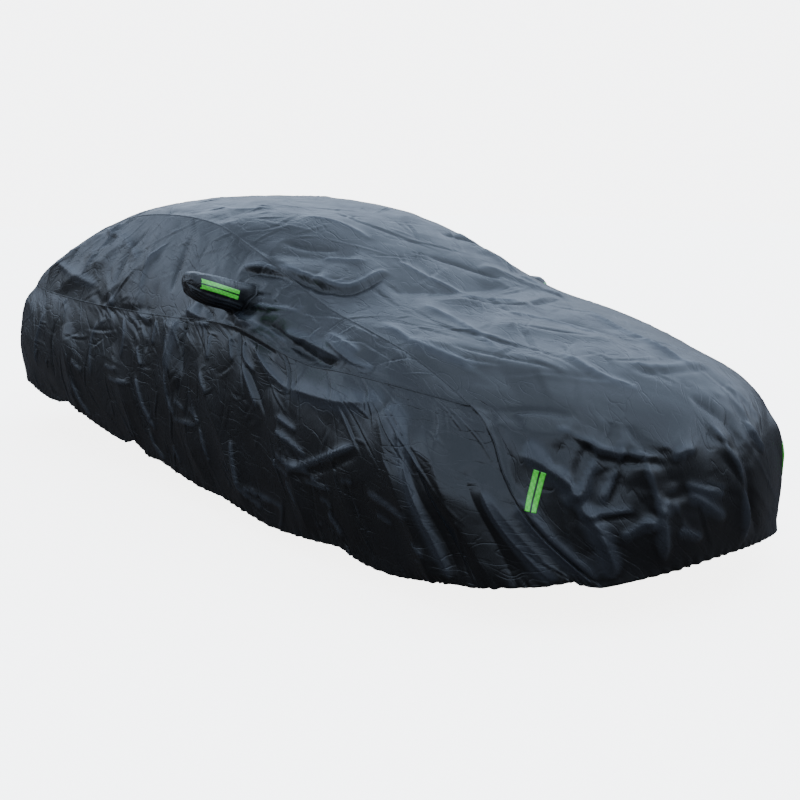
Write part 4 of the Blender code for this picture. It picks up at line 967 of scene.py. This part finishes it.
pocket_grids = {}
pocket_cloths = {}
for side_name, mirror in SIDES:
    angle = 2 * np.pi * np.arange(POCKET_AROUND) / POCKET_AROUND
    mouth = np.stack([np.full(POCKET_AROUND, MOUTH_START * mirror), BASE_Y + BASE_LONG * np.cos(angle),
                      BASE_Z + BASE_HIGH * np.sin(angle)], axis=-1) - HOLD_POINT
    panel = upper[side_name]
    mouth = on_cloth(mouth, panel, grid_normals(panel, -mirror), (-mirror, 0, 0), PANEL_REACH)
    mouth += (POCKET_LAP * mirror, 0, 0)
    form = pocket_form(mouth, side_name, mirror)
    share = np.linspace(0, 1, POCKET_RINGS + 1)[:, None]
    turns = np.arange(POCKET_AROUND)[None, :] / POCKET_AROUND
    there = np.broadcast_arrays(share, 2 * np.abs(turns - 0.5))
    relief = POCKET_UNEVEN * uneven(there, dice, (0.10, 0.22))
    for start, end, first, last, width, height in POCKET_FOLDS:
        off = np.abs((turns - (start + (end - start) * share) + 0.5) % 1 - 0.5)
        fade = np.clip(np.minimum(share - first, last - share) / FOLD_SOFTNESS + 0.5, 0, 1)
        relief = relief + height * np.exp(-(2 * off / width)**1.2) * fade
    ends = np.clip(np.minimum(share / MOUTH_CALM, (1 - share) / TIP_CALM), 0, 1)
    grid = form + round_normals(form, -mirror) * (relief * ends)[..., None]
    girth = np.linalg.norm(np.diff(grid, axis=1, append=grid[:, :1]), axis=-1).cumsum(axis=1)
    run = np.linalg.norm(np.diff(grid, axis=0, prepend=grid[:1]), axis=-1).cumsum(axis=0)
    pocket_grids[side_name] = grid
    cloth = add_cloth(f"mirror_pocket_{side_name}_cloth", grid, mirror > 0, black_cloth, (girth, run),
                      relief * ends / POCKET_FULL_WEAR, closed=True)
    pocket_cloths[side_name] = cloth
    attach(cloth, "root")
    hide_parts(f"mirror_pocket_{side_name}")

# ---------------------------------------------------------------------------------------
# The lower side panels: the skirt of the cover, one on each side, of the same cloth. Each is
# sewn to the upper panel along the belt seam and to the centre panel at both corners, and
# hangs free below, drawn in by the elastic of its hem.
# ---------------------------------------------------------------------------------------
DROP_CELLS = 87
CORNER_REACH = 0.12           # share of the panel's length over which it turns into a corner seam
RISE_SMOOTHING = 13           # mesh cells over which the hem's rise is averaged
RISE_ENDS = 12                # how steeply the rise sets in at the panel's ends
RISE_FADE = 4                 # how soon it fades above the hem (an exponent)
LOWER_SLACK = ((0.007, 0.003), (0.005, 0.003), 0.020)
LOWER_PACKING = (
    # count, lean, spread, reach, width, height
    (200, 1.3, 0.5, 0.24, 0.005, 0.0060),
    (160, 0.3, 0.8, 0.15, 0.005, 0.0055),
)
HEM_RISE = {
    # y, rise of the hem there
    "right": ((-2.33, 0.000), (-2.27, 0.026), (-2.20, 0.008), (-2.05, -0.004), (-1.83, -0.012),
              (-1.62, -0.022), (-1.46, -0.012), (-1.31, 0.026), (-1.15, 0.012), (-0.96, 0.000),
              (-0.78, -0.006), (-0.56, 0.010), (-0.39, 0.022), (-0.20, 0.008), (0.00, 0.014),
              (0.21, 0.026), (0.36, 0.008), (0.48, 0.062), (0.58, 0.018), (0.72, 0.012), (0.93, 0.021),
              (1.14, 0.035), (1.34, 0.056), (1.46, 0.026), (1.62, 0.006), (1.80, 0.010), (1.98, 0.022),
              (2.20, 0.008), (2.35, 0.000)),
    "left": ((-2.33, 0.000), (-2.10, 0.010), (-1.86, -0.008), (-1.60, -0.014), (-1.38, 0.012),
             (-1.10, 0.004), (-0.84, 0.018), (-0.50, 0.000), (-0.22, 0.016), (0.10, 0.004),
             (0.40, 0.022), (0.66, 0.012), (0.96, 0.030), (1.22, 0.022), (1.40, 0.040), (1.66, 0.010),
             (1.96, 0.018), (2.35, 0.000)),
}


def lower_form(seam, belt, side_name, mirror):
    """A smooth curve down through belt, shoulder, belly and hem, turned into the corner seams."""
    lines = side_lines() * (mirror, 1, 1)
    lines[:, 0] = belt
    grid = along(lines.transpose(1, 0, 2).reshape(4, -1), np.linspace(0, 3, DROP_CELLS + 1))
    grid = grid.reshape(DROP_CELLS + 1, SIDE_CELLS + 1, 3).swapaxes(0, 1)
    front = read_along(seam[END_CELLS::-1], DROP_CELLS)
    rear = read_along(seam[-END_CELLS - 1:], DROP_CELLS)
    share = np.linspace(0, 1, SIDE_CELLS + 1)[:, None, None]
    near_front = np.clip(1 - share / CORNER_REACH, 0, 1)**2
    near_rear = np.clip(1 - (1 - share) / CORNER_REACH, 0, 1)**2
    grid = grid + (front - grid[0]) * near_front + (rear - grid[-1]) * near_rear
    places, rises = np.array(HEM_RISE[side_name]).T
    rise = np.interp(grid[:, -1, 1] + HOLD_POINT[1], places, rises)
    rise = np.pad(rise, RISE_SMOOTHING // 2, mode="edge")
    rise = np.convolve(rise, np.ones(RISE_SMOOTHING) / RISE_SMOOTHING, mode="valid")
    ends = np.clip(np.sin(np.pi * share[:, 0, 0]) * RISE_ENDS, 0, 1)
    grid[:, :, 2] += (rise * ends)[:, None] * np.linspace(0, 1, DROP_CELLS + 1)**RISE_FADE
    return grid


def side_creases(rows):
    """Crease rows from side view (y, z at start, middle and end) with x left at zero."""
    return [(0, *row[0:2], 0, *row[2:4], 0, *row[4:6], *row[6:]) for row in rows]


STREAKS = (
    # start y, z    middle y, z    end y, z      width  height
    (1.14, 0.56, 1.08, 0.53, 1.01, 0.51, 0.022, 0.008),
    (1.17, 0.46, 1.10, 0.34, 0.98, 0.26, 0.024, 0.011),
    (0.74, 0.58, 0.66, 0.575, 0.57, 0.58, 0.020, 0.008),
    (0.71, 0.52, 0.56, 0.52, 0.42, 0.53, 0.020, 0.009),
    (0.36, 0.72, 0.34, 0.68, 0.30, 0.62, 0.020, 0.010),
    (0.37, 0.58, 0.30, 0.44, 0.19, 0.32, 0.030, 0.014),
    (0.42, 0.56, 0.35, 0.40, 0.25, 0.29, 0.026, -0.010),
    (0.20, 0.86, 0.20, 0.80, 0.20, 0.74, 0.020, 0.011),
    (0.27, 0.86, 0.26, 0.78, 0.27, 0.70, 0.020, -0.010),
    (-0.02, 0.89, 0.00, 0.77, 0.02, 0.62, 0.050, 0.018),
    (0.06, 0.66, 0.02, 0.50, -0.04, 0.44, 0.026, 0.011),
    (-0.10, 0.88, -0.10, 0.76, -0.12, 0.64, 0.028, -0.012),
    (-0.34, 0.86, -0.35, 0.80, -0.36, 0.74, 0.020, 0.010),
    (-0.31, 0.69, -0.34, 0.64, -0.38, 0.60, 0.020, 0.009),
    (-0.52, 0.86, -0.54, 0.82, -0.57, 0.76, 0.020, 0.011),
    (-0.58, 0.88, -0.61, 0.80, -0.66, 0.72, 0.022, -0.010),
    (-0.63, 0.85, -0.66, 0.79, -0.75, 0.74, 0.020, 0.011),
    (-0.63, 0.78, -0.71, 0.69, -0.79, 0.59, 0.022, 0.012),
    (-0.68, 0.76, -0.77, 0.67, -0.86, 0.56, 0.022, -0.010),
    (-0.70, 0.84, -0.84, 0.76, -1.00, 0.70, 0.026, 0.011),
    (-0.04, 0.51, -0.09, 0.50, -0.15, 0.48, 0.018, 0.009),
    (-0.18, 0.50, -0.22, 0.48, -0.28, 0.44, 0.018, 0.008),
    (0.00, 0.42, -0.12, 0.425, -0.26, 0.43, 0.020, 0.008),
    (0.03, 0.28, 0.00, 0.24, -0.03, 0.20, 0.018, 0.009),
    (-0.28, 0.43, -0.30, 0.36, -0.34, 0.27, 0.020, 0.010),
    (-0.56, 0.42, -0.57, 0.32, -0.60, 0.20, 0.022, 0.012),
    (-0.59, 0.21, -0.67, 0.18, -0.76, 0.15, 0.018, 0.009),
    (-0.62, 0.22, -0.73, 0.21, -0.85, 0.20, 0.018, 0.009),
    (0.28, 0.32, 0.23, 0.24, 0.13, 0.18, 0.020, 0.010),
    (-0.95, 0.59, -1.01, 0.57, -1.09, 0.55, 0.020, 0.010),
    (-0.94, 0.53, -1.05, 0.50, -1.16, 0.46, 0.022, 0.011),
    (-0.91, 0.43, -1.07, 0.405, -1.24, 0.38, 0.022, 0.012),
    (-0.89, 0.39, -0.96, 0.37, -1.04, 0.36, 0.018, 0.009),
    (-1.02, 0.38, -1.25, 0.465, -1.49, 0.57, 0.026, 0.015),
    (-1.04, 0.35, -1.28, 0.43, -1.50, 0.53, 0.024, -0.010),
    (-1.12, 0.36, -1.21, 0.355, -1.32, 0.36, 0.018, 0.009),
    (-0.99, 0.33, -1.03, 0.29, -1.07, 0.23, 0.020, 0.009),
    (-1.23, 0.31, -1.26, 0.30, -1.31, 0.28, 0.018, 0.009),
    (-1.27, 0.26, -1.30, 0.22, -1.35, 0.17, 0.020, 0.010),
    (-1.39, 0.41, -1.42, 0.415, -1.47, 0.42, 0.018, 0.008),
    (-1.54, 0.40, -1.65, 0.375, -1.77, 0.35, 0.024, 0.013),
    (-1.58, 0.32, -1.62, 0.31, -1.67, 0.30, 0.018, 0.009),
    (-0.77, 0.20, -0.86, 0.205, -0.94, 0.19, 0.018, 0.009),
    (-0.96, 0.71, -1.32, 0.70, -1.57, 0.73, 0.060, 0.016),
    (-1.57, 0.72, -1.68, 0.66, -1.83, 0.50, 0.050, 0.014),
    (-1.66, 0.68, -1.80, 0.40, -1.92, 0.13, 0.036, 0.014),
    (-1.69, 0.69, -1.86, 0.42, -2.00, 0.16, 0.036, -0.012),
    (-1.76, 0.26, -1.79, 0.24, -1.82, 0.22, 0.020, 0.009),
    (-2.02, 0.50, -2.12, 0.33, -2.24, 0.16, 0.036, 0.014),
    (-1.95, 0.56, -2.06, 0.36, -2.14, 0.17, 0.034, -0.011),
    (1.62, 0.78, 1.70, 0.60, 1.74, 0.44, 0.034, 0.010),
    (1.42, 0.74, 1.46, 0.58, 1.44, 0.42, 0.030, -0.009),
    (0.88, 0.80, 0.92, 0.66, 0.90, 0.50, 0.028, 0.009),
    (0.56, 0.84, 0.52, 0.74, 0.54, 0.64, 0.024, 0.009),
)
# the left panel is creased alike, a little further back
STREAK_SHIFT = {"right": 0.0, "left": 0.17}

lower = {}
for side_name, mirror in SIDES:
    edge = SEAM_EDGE[side_name]
    belt = upper_form(read_along(smooth_seam[long_part, edge], SIDE_CELLS), mirror)[:, -1]
    form = lower_form(smooth_seam[:, edge], belt, side_name, mirror)
    front = read_along(centre_grid[END_CELLS::-1, edge], DROP_CELLS)
    rear = read_along(centre_grid[-END_CELLS - 1:, edge], DROP_CELLS)
    shift = STREAK_SHIFT[side_name] * np.array((1, 0, 1, 0, 1, 0, 0, 0))
    grid, wear, places = dress_panel(
        form, -mirror, dice, LOWER_SLACK, LOWER_PACKING, coarse=(6, 3),
        edges=((1, False, upper[side_name][:, -1]), (0, False, front), (0, True, rear)),
        loose_edges=(np.s_[1:-1, -1],), side_streaks=side_creases(np.array(STREAKS) + shift))
    lower[side_name] = grid
    hemmed = hem_turned(grid, -mirror, dice)
    cloth = add_cloth(f"lower_side_{side_name}_cloth", hemmed, mirror > 0, black_cloth,
                      hem_places(places), np.pad(wear, ((0, 0), (0, HEM_CELLS))))
    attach(cloth, "root")
    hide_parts(f"lower_side_{side_name}")

# ---------------------------------------------------------------------------------------
# The seams: flat laps, where the edges of two panels are folded into each other and sewn down
# with two rows of black thread. They run along the top, down the corners, along the belt and
# round the mouths of the mirror pockets.
# ---------------------------------------------------------------------------------------
LAP_HALF = 0.0050             # half the width of a lap
LAP_HIGH = 0.0016             # its height over the cloth
LAP_PROFILE = (
    # across, as a share of LAP_HALF, and height, as a share of LAP_HIGH
    (-1.0, -0.6), (-0.9, 0.8), (-0.5, 0.65), (0.0, 1.0), (0.5, 0.65), (0.9, 0.8), (1.0, -0.6))
STITCH_PITCH, STITCH_LONG, STITCH_THICK = 0.0065, 0.0044, 0.0005
STITCH_ROWS = (-0.5, 0.5)     # where on the lap's half width the two rows run
STITCH_SEAT = 0.75            # height of the stitches' middle, as a share of LAP_HIGH
STITCH_FACES = np.array([
    (0, 2, 4), (0, 4, 3), (0, 3, 5), (0, 5, 2), (1, 4, 2), (1, 3, 4), (1, 5, 3), (1, 2, 5)])


def seam_frame(seam, side_a, side_b, outward):
    """Unit directions from the seam into both panels, and the mean outward normal."""
    to_a, to_b = unit(side_a - seam), unit(side_b - seam)
    run = unit(np.gradient(seam, axis=0))
    normal = unit(np.cross(to_b - to_a, run))
    sign = np.sign((normal * outward).sum(axis=-1, keepdims=True))
    return to_a, to_b, normal * np.where(sign == 0, 1, sign)


def seam_lap(seam, to_a, to_b, normal):
    """The lap's grid: across, it follows each panel by its share of LAP_HALF, LAP_HIGH proud."""
    columns = []
    for across, high in LAP_PROFILE:
        way = to_a if across < 0 else to_b
        columns.append(seam + way * abs(across) * LAP_HALF + normal * high * LAP_HIGH)
    return np.stack(columns, axis=1)


def stitches(seam, to_a, to_b, normal):
    """Points and faces of the stitches: long eight-sided diamonds at even steps on two rows."""
    step = np.linalg.norm(np.diff(seam, axis=0), axis=-1)
    place = np.concatenate([[0.0], np.cumsum(step)])
    at = np.arange(STITCH_PITCH, place[-1] - STITCH_PITCH, STITCH_PITCH)

    def read(values):
        """The values at the stitches' places along the seam."""
        return np.stack([np.interp(at, place, values[:, each]) for each in range(3)], axis=-1)

    run = unit(read(np.gradient(seam, axis=0)))
    up = unit(read(normal))
    points = []
    for row in STITCH_ROWS:
        way = read(to_a if row < 0 else to_b)
        middle = read(seam) + way * abs(row) * LAP_HALF + up * LAP_HIGH * STITCH_SEAT
        ends = run * STITCH_LONG / 2
        points.append(np.stack([middle - ends, middle + ends, middle + way * STITCH_THICK,
                                middle - way * STITCH_THICK, middle + up * STITCH_THICK,
                                middle - up * STITCH_THICK], axis=1))
    points = np.concatenate(points)
    first = np.arange(len(points))[:, None, None] * points.shape[1]
    faces = (first + STITCH_FACES[None]).reshape(-1, 3)
    return points.reshape(-1, 3), faces


PLY_SCALE = 900.0
THREAD_DARK, THREAD_PALE = (0.010, 0.011, 0.012, 1.0), (0.030, 0.032, 0.035, 1.0)


def thread_finish():
    """Matt black polyester thread, a little greyer than the cloth."""
    material, tree, shader = new_finish("black_thread", {"Roughness": 0.6})
    ply = noise(tree, add_node(tree, "TexCoord").outputs["Object"], PLY_SCALE)
    feed(shader.inputs["Base Color"], blended(tree, ply, THREAD_DARK, THREAD_PALE))
    return material


black_thread = thread_finish()


def sew(name, seam, side_a, side_b, outward, flip):
    """Adds one seam's lap and its stitches, and returns both pieces."""
    to_a, to_b, normal = seam_frame(seam, side_a, side_b, outward)
    lap = seam_lap(seam, to_a, to_b, normal)
    band = add_cloth(name + "_lap", lap, flip, black_cloth, thread_lengths(lap))
    points, faces = stitches(seam, to_a, to_b, normal)
    mesh = bpy.data.meshes.new(name + "_stitches")
    mesh.from_pydata(points.tolist(), [], faces.tolist())
    mesh.materials.append(black_thread)
    rows = add_object(name + "_stitches", mesh)
    for piece in (band, rows):
        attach(piece, "root")
    return [band, rows]


def long_edge(values, column):
    """A column of the centre panel from hem to hem, read at the long seam's finer steps."""
    return np.concatenate([
        read_along(values[:END_CELLS + 1, column], END_CELLS * 2),
        read_along(values[long_part, column], SIDE_CELLS)[1:],
        read_along(values[END_CELLS + LONG_CELLS:, column], END_CELLS * 2)[1:]])


RING_STEP = 0.01              # how far outside a pocket's mouth its seam looks for the panel

centre_normals = grid_normals(centre_grid, -1)
sewn = {}
for side_name, mirror in SIDES:
    edge = SEAM_EDGE[side_name]
    inner = 1 if edge == 0 else -2
    panel, skirt = upper[side_name], lower[side_name]
    panel_side = np.concatenate([
        read_along(skirt[2, ::-1], END_CELLS * 2),
        panel[1:-1, 1],
        read_along(skirt[-3], END_CELLS * 2)])
    sewn[side_name] = sew(f"long_seam_{side_name}", long_edge(centre_grid, edge),
                          long_edge(centre_grid, inner), panel_side,
                          long_edge(centre_normals, edge), mirror > 0)
    belt_normal = grid_normals(skirt, -mirror)[:, 0]
    sewn[side_name] += sew(f"belt_seam_{side_name}", skirt[:, 0], panel[:, -2], skirt[:, 1],
                           belt_normal, mirror > 0)
    bag = pocket_grids[side_name]
    ring = np.vstack([bag[0], bag[0, :2]])
    outer_ring = ring + unit(ring - bag[0].mean(axis=0)) * RING_STEP
    outer_ring = on_cloth(outer_ring, panel, grid_normals(panel, -mirror), (-mirror, 0, 0), PANEL_REACH)
    bag_ring = np.vstack([bag[2], bag[2, :2]])
    sewn[side_name] += sew(f"mouth_seam_{side_name}", ring, outer_ring, bag_ring,
                           np.array([mirror, 0.0, 0.0]) + 0 * ring, mirror < 0)

# ---------------------------------------------------------------------------------------
# The reflective strips: green glossy tape with a dark line along its middle, sewn along its
# edges. One lies on the face of each mirror pocket, and one stands at each front corner.
# ---------------------------------------------------------------------------------------
STRIP_WIDTH = 0.042
STRIP_CELLS_LONG, STRIP_CELLS_ACROSS = 64, 16
STRIP_LIFT = 0.0022           # height of the tape's face over the cloth
POCKET_STRIP = ((1.070, -0.70, 1.110), (0.862, -0.70, 1.042))
POCKET_STRIP_AIM = (0.0, 1.0, 0.0)
CORNER_STRIPS = {
    "right": ((-0.929, -2.506, 0.563), (-0.973, -2.508, 0.428)),
    "left": ((0.769, -2.686, 0.530), (0.799, -2.666, 0.400)),
}
CORNER_STRIP_AIM = (0.62, 0.78, 0.0)          # on the right; mirrored on the left
TAPE_REACH = 0.009            # how far round a point of the tape the cloth's place is averaged
TAPE_TUCK = -0.001            # lift of the tape's outermost points, which are turned down


def strip_form(start, end, aim, cloth, normals):
    """The tape's grid and its own places: along it and across it, in metres.

    A flat strip between the two points is moved along aim on to the cloth. Its outermost ring
    of points is turned down to the cloth, which closes its edge.
    """
    start, end, aim = np.array(start), np.array(end), unit(np.array(aim, float))
    whole = np.linalg.norm(end - start - ((end - start) @ aim) * aim)
    across = unit(np.cross(aim, end - start))
    u = np.linspace(0, 1, STRIP_CELLS_LONG + 1)
    u = np.concatenate([[0], u, [1]])[:, None]
    v = np.linspace(-0.5, 0.5, STRIP_CELLS_ACROSS + 1)
    v = np.concatenate([[-0.5], v, [0.5]])[None, :]
    points = start + u[..., None] * (end - start) + v[..., None] * STRIP_WIDTH * across
    laid = on_cloth(points, cloth, normals, aim, TAPE_REACH)
    lift = np.full(laid.shape[:2], STRIP_LIFT)
    lift[[0, -1]] = TAPE_TUCK
    lift[:, [0, -1]] = TAPE_TUCK
    laid = laid - aim * lift[..., None]
    return laid, np.broadcast_arrays(u * whole, v * STRIP_WIDTH)


TAPE_LINE_HALF, TAPE_EDGE = 0.0034, 0.0018    # half the dark line, and the sewn edge
TAPE_SQUARE, TAPE_CELL = 0.011, 0.0026
TAPE_GREEN, TAPE_PALE = (0.05, 0.60, 0.03, 1.0), (0.20, 0.95, 0.12, 1.0)
TAPE_SEWN, TAPE_DARK = (0.08, 0.42, 0.04, 1.0), (0.012, 0.030, 0.010, 1.0)
SQUARES_SHOW, CLOUD_SHOWS = 0.35, 0.42        # how much paler the squares and the cloudy patches are
TAPE_PAINTED_GLOW = 0.10              # painted glow: the tape gives off this much of its own colour as light, making the fluorescent green brighter than its lamps make it
CELL_DEPTH = 0.0004           # in metres


def green_tape_finish():
    """Glossy green reflective tape: pale squares of its honeycomb, a dark line, sewn edges, and a painted
    glow of its own colour.
    """
    material, tree, shader = new_finish("green_tape", {
        "Roughness": 0.28, "Coat Weight": 0.5, "Coat Roughness": 0.12, "Emission Strength": TAPE_PAINTED_GLOW})
    threads = add_node(tree, "UVMap", uv_map="cloth").outputs["UV"]
    across = add_node(tree, "SeparateXYZ", {"Vector": threads}).outputs["Y"]
    off_middle = reckon(tree, "ABSOLUTE", across)
    dark_line = reckon(tree, "LESS_THAN", off_middle, TAPE_LINE_HALF)
    sewn_edge = reckon(tree, "GREATER_THAN", off_middle, STRIP_WIDTH / 2 - TAPE_EDGE)
    checks = add_node(tree, "TexChecker", {"Vector": threads, "Scale": 1.0 / TAPE_SQUARE}).outputs["Fac"]
    cloud = noise(tree, threads, 60.0)
    green = blended(tree, reckon(tree, "MULTIPLY", checks, SQUARES_SHOW), TAPE_GREEN, TAPE_PALE)
    green = blended(tree, reckon(tree, "MULTIPLY", cloud, CLOUD_SHOWS), green, TAPE_PALE)
    green = blended(tree, sewn_edge, green, TAPE_SEWN)
    green = blended(tree, dark_line, green, TAPE_DARK)
    feed(shader.inputs["Base Color"], green)
    # painted glow: the tape's colour is also emitted, so it shines brighter than its lamps light it
    feed(shader.inputs["Emission Color"], green)
    cells = add_node(tree, "TexVoronoi", {"Vector": threads, "Scale": 1.0 / TAPE_CELL})
    feed(shader.inputs["Normal"], bump(tree, cells.outputs["Distance"], 0.25, CELL_DEPTH))
    return material


green_tape = green_tape_finish()

for side_name, mirror in SIDES:
    reach, drop, droop, sweep = POCKET_HANG[side_name]
    hung = np.array(POCKET_STRIP)
    out = (hung[:, 0] - POCKET_ROWS[0][0]) * reach
    hung = np.stack([(POCKET_ROWS[0][0] + out) * mirror, hung[:, 1] + sweep * out,
                     hung[:, 2] - drop - droop * out], axis=-1) - HOLD_POINT
    bag, bag_cloth = pocket_grids[side_name], pocket_cloths[side_name]
    corner = np.array(CORNER_STRIPS[side_name]) - HOLD_POINT
    corner_aim = (CORNER_STRIP_AIM[0] * -mirror, *CORNER_STRIP_AIM[1:])
    for where, ends, aim, cloth, normals, under in (
            ("pocket", hung, POCKET_STRIP_AIM, bag, round_normals(bag, -mirror), bag_cloth),
            ("corner", corner, corner_aim, centre_grid, centre_normals, centre_cloth)):
        grid, places = strip_form(*ends, aim, cloth, normals)
        strip = add_cloth(f"{where}_strip_{side_name}_tape", grid, True, green_tape, places)
        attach(strip, "root")
        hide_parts(f"{where}_strip_{side_name}")

# ---------------------------------------------------------------------------------------
# The view: a pale floor at the base level, soft light from above, and the camera. Seen
# directly the floor and the backdrop are an even white; in the cloth they reflect darker.
# ---------------------------------------------------------------------------------------
FLOOR_HALF = 30.0             # half the floor's side
FLOOR_SEEN, FLOOR_MIRRORED = (0.95, 0.94, 0.92, 1.0), (0.046, 0.042, 0.040, 1.0)
FLOOR_GLOW, FLOOR_GLOW_MIRRORED = (1.0, 0.99, 0.97, 1.0), (0.0092, 0.0080, 0.0068, 1.0)
floor_corners = [(x * FLOOR_HALF, y * FLOOR_HALF, -HOLD_POINT[2])
                 for x, y in ((-1, -1), (1, -1), (1, 1), (-1, 1))]
floor_mesh = bpy.data.meshes.new("floor")
floor_mesh.from_pydata(floor_corners, [], [(0, 1, 2, 3)])
floor = add_object("floor", floor_mesh)
pale, floor_tree, floor_shader = new_finish("pale_floor", {
    "Roughness": 0.9, "Specular IOR Level": 0.0, "Emission Strength": 4.6})
seen = add_node(floor_tree, "LightPath").outputs["Is Camera Ray"]
feed(floor_shader.inputs["Base Color"], blended(floor_tree, seen, FLOOR_MIRRORED, FLOOR_SEEN))
feed(floor_shader.inputs["Emission Color"], blended(floor_tree, seen, FLOOR_GLOW_MIRRORED, FLOOR_GLOW))
floor_mesh.materials.append(pale)

# the softbox's colour from the horizon (0) up to overhead (1): dim below, bright above
SKY_STOPS = ((0.0, (0.012, 0.012, 0.012)), (0.06, (0.022, 0.022, 0.022)), (0.15, (0.20, 0.22, 0.25)),
             (0.28, (0.35, 0.42, 0.54)), (0.40, (0.56, 0.68, 0.88)), (0.52, (0.42, 0.53, 0.69)),
             (0.75, (0.22, 0.275, 0.365)), (1.0, (0.23, 0.29, 0.39)))
# its strength from the cover's right side (0) through ahead and behind (0.5) to the left (1)
SKY_AROUND = ((0.0, 2.8), (0.40, 2.6), (0.46, 2.4), (0.53, 1.0), (0.67, 4.0), (0.81, 3.2), (1.0, 3.2))
BACKDROP_COLOUR, BACKDROP_STRENGTH = (0.97, 0.98, 1.0, 1.0), 5.8


def ramp(tree, at, stops):
    """Colours that change over from stop to stop; the first stop is at 0 and the last at 1."""
    node = add_node(tree, "ValToRGB", {"Fac": at})
    elements = node.color_ramp.elements
    for place, _ in stops[1:-1]:
        elements.new(place)
    for element, (_, colour) in zip(elements, stops):
        element.color = (*colour, 1.0)
    return node.outputs["Color"]


world = bpy.data.worlds.new("studio")
bpy.context.scene.world = world
world.use_nodes = True
sky_tree = world.node_tree
sky_place = add_node(sky_tree, "TexCoord").outputs["Generated"]
way_out = add_node(sky_tree, "SeparateXYZ", {"Vector": sky_place})
around = add_node(sky_tree, "MapRange", {"Value": way_out.outputs["X"], "From Min": -1.0})
softbox = sky_tree.nodes["Background"]
feed(softbox.inputs["Color"], ramp(sky_tree, way_out.outputs["Z"], SKY_STOPS))
feed(softbox.inputs["Strength"], ramp(sky_tree, around.outputs["Result"],
                                      [(place, (strength,) * 3) for place, strength in SKY_AROUND]))
backdrop = add_node(sky_tree, "Background", {"Color": BACKDROP_COLOUR, "Strength": BACKDROP_STRENGTH})
seen = add_node(sky_tree, "LightPath").outputs["Is Camera Ray"]
sky_shader = add_node(sky_tree, "MixShader", {
    0: seen, 1: softbox.outputs["Background"], 2: backdrop.outputs["Background"]})
feed(sky_tree.nodes["World Output"].inputs["Surface"], sky_shader.outputs["Shader"])

sky_light = bpy.data.lights.new("sky_light", "SUN")
sky_light.angle = 1.2
sky_light.energy = 0.9
sky_light.color = (0.68, 0.82, 1.0)
sky = add_object("sky_light", sky_light)
sky.location = (0.0, 0.0, 4.0)
sky.rotation_euler = (0.10, 0.10, 0.0)

CAMERA_PLACE = (-3.374, -5.280, 0.114)
CAMERA_YAW, CAMERA_PITCH = 0.670, 0.193      # radians from +Y towards +X, and below level
SENSOR_MM = 36.0
FOCUS_PIXELS, IMAGE_PIXELS = 1147.0, 800.0
camera_data = bpy.data.cameras.new("camera")
camera_data.sensor_width = SENSOR_MM
camera_data.lens = SENSOR_MM * FOCUS_PIXELS / IMAGE_PIXELS
camera = add_object("camera", camera_data)
camera.location = CAMERA_PLACE
camera.rotation_euler = (np.pi / 2 - CAMERA_PITCH, 0.0, -CAMERA_YAW)
bpy.context.scene.camera = camera
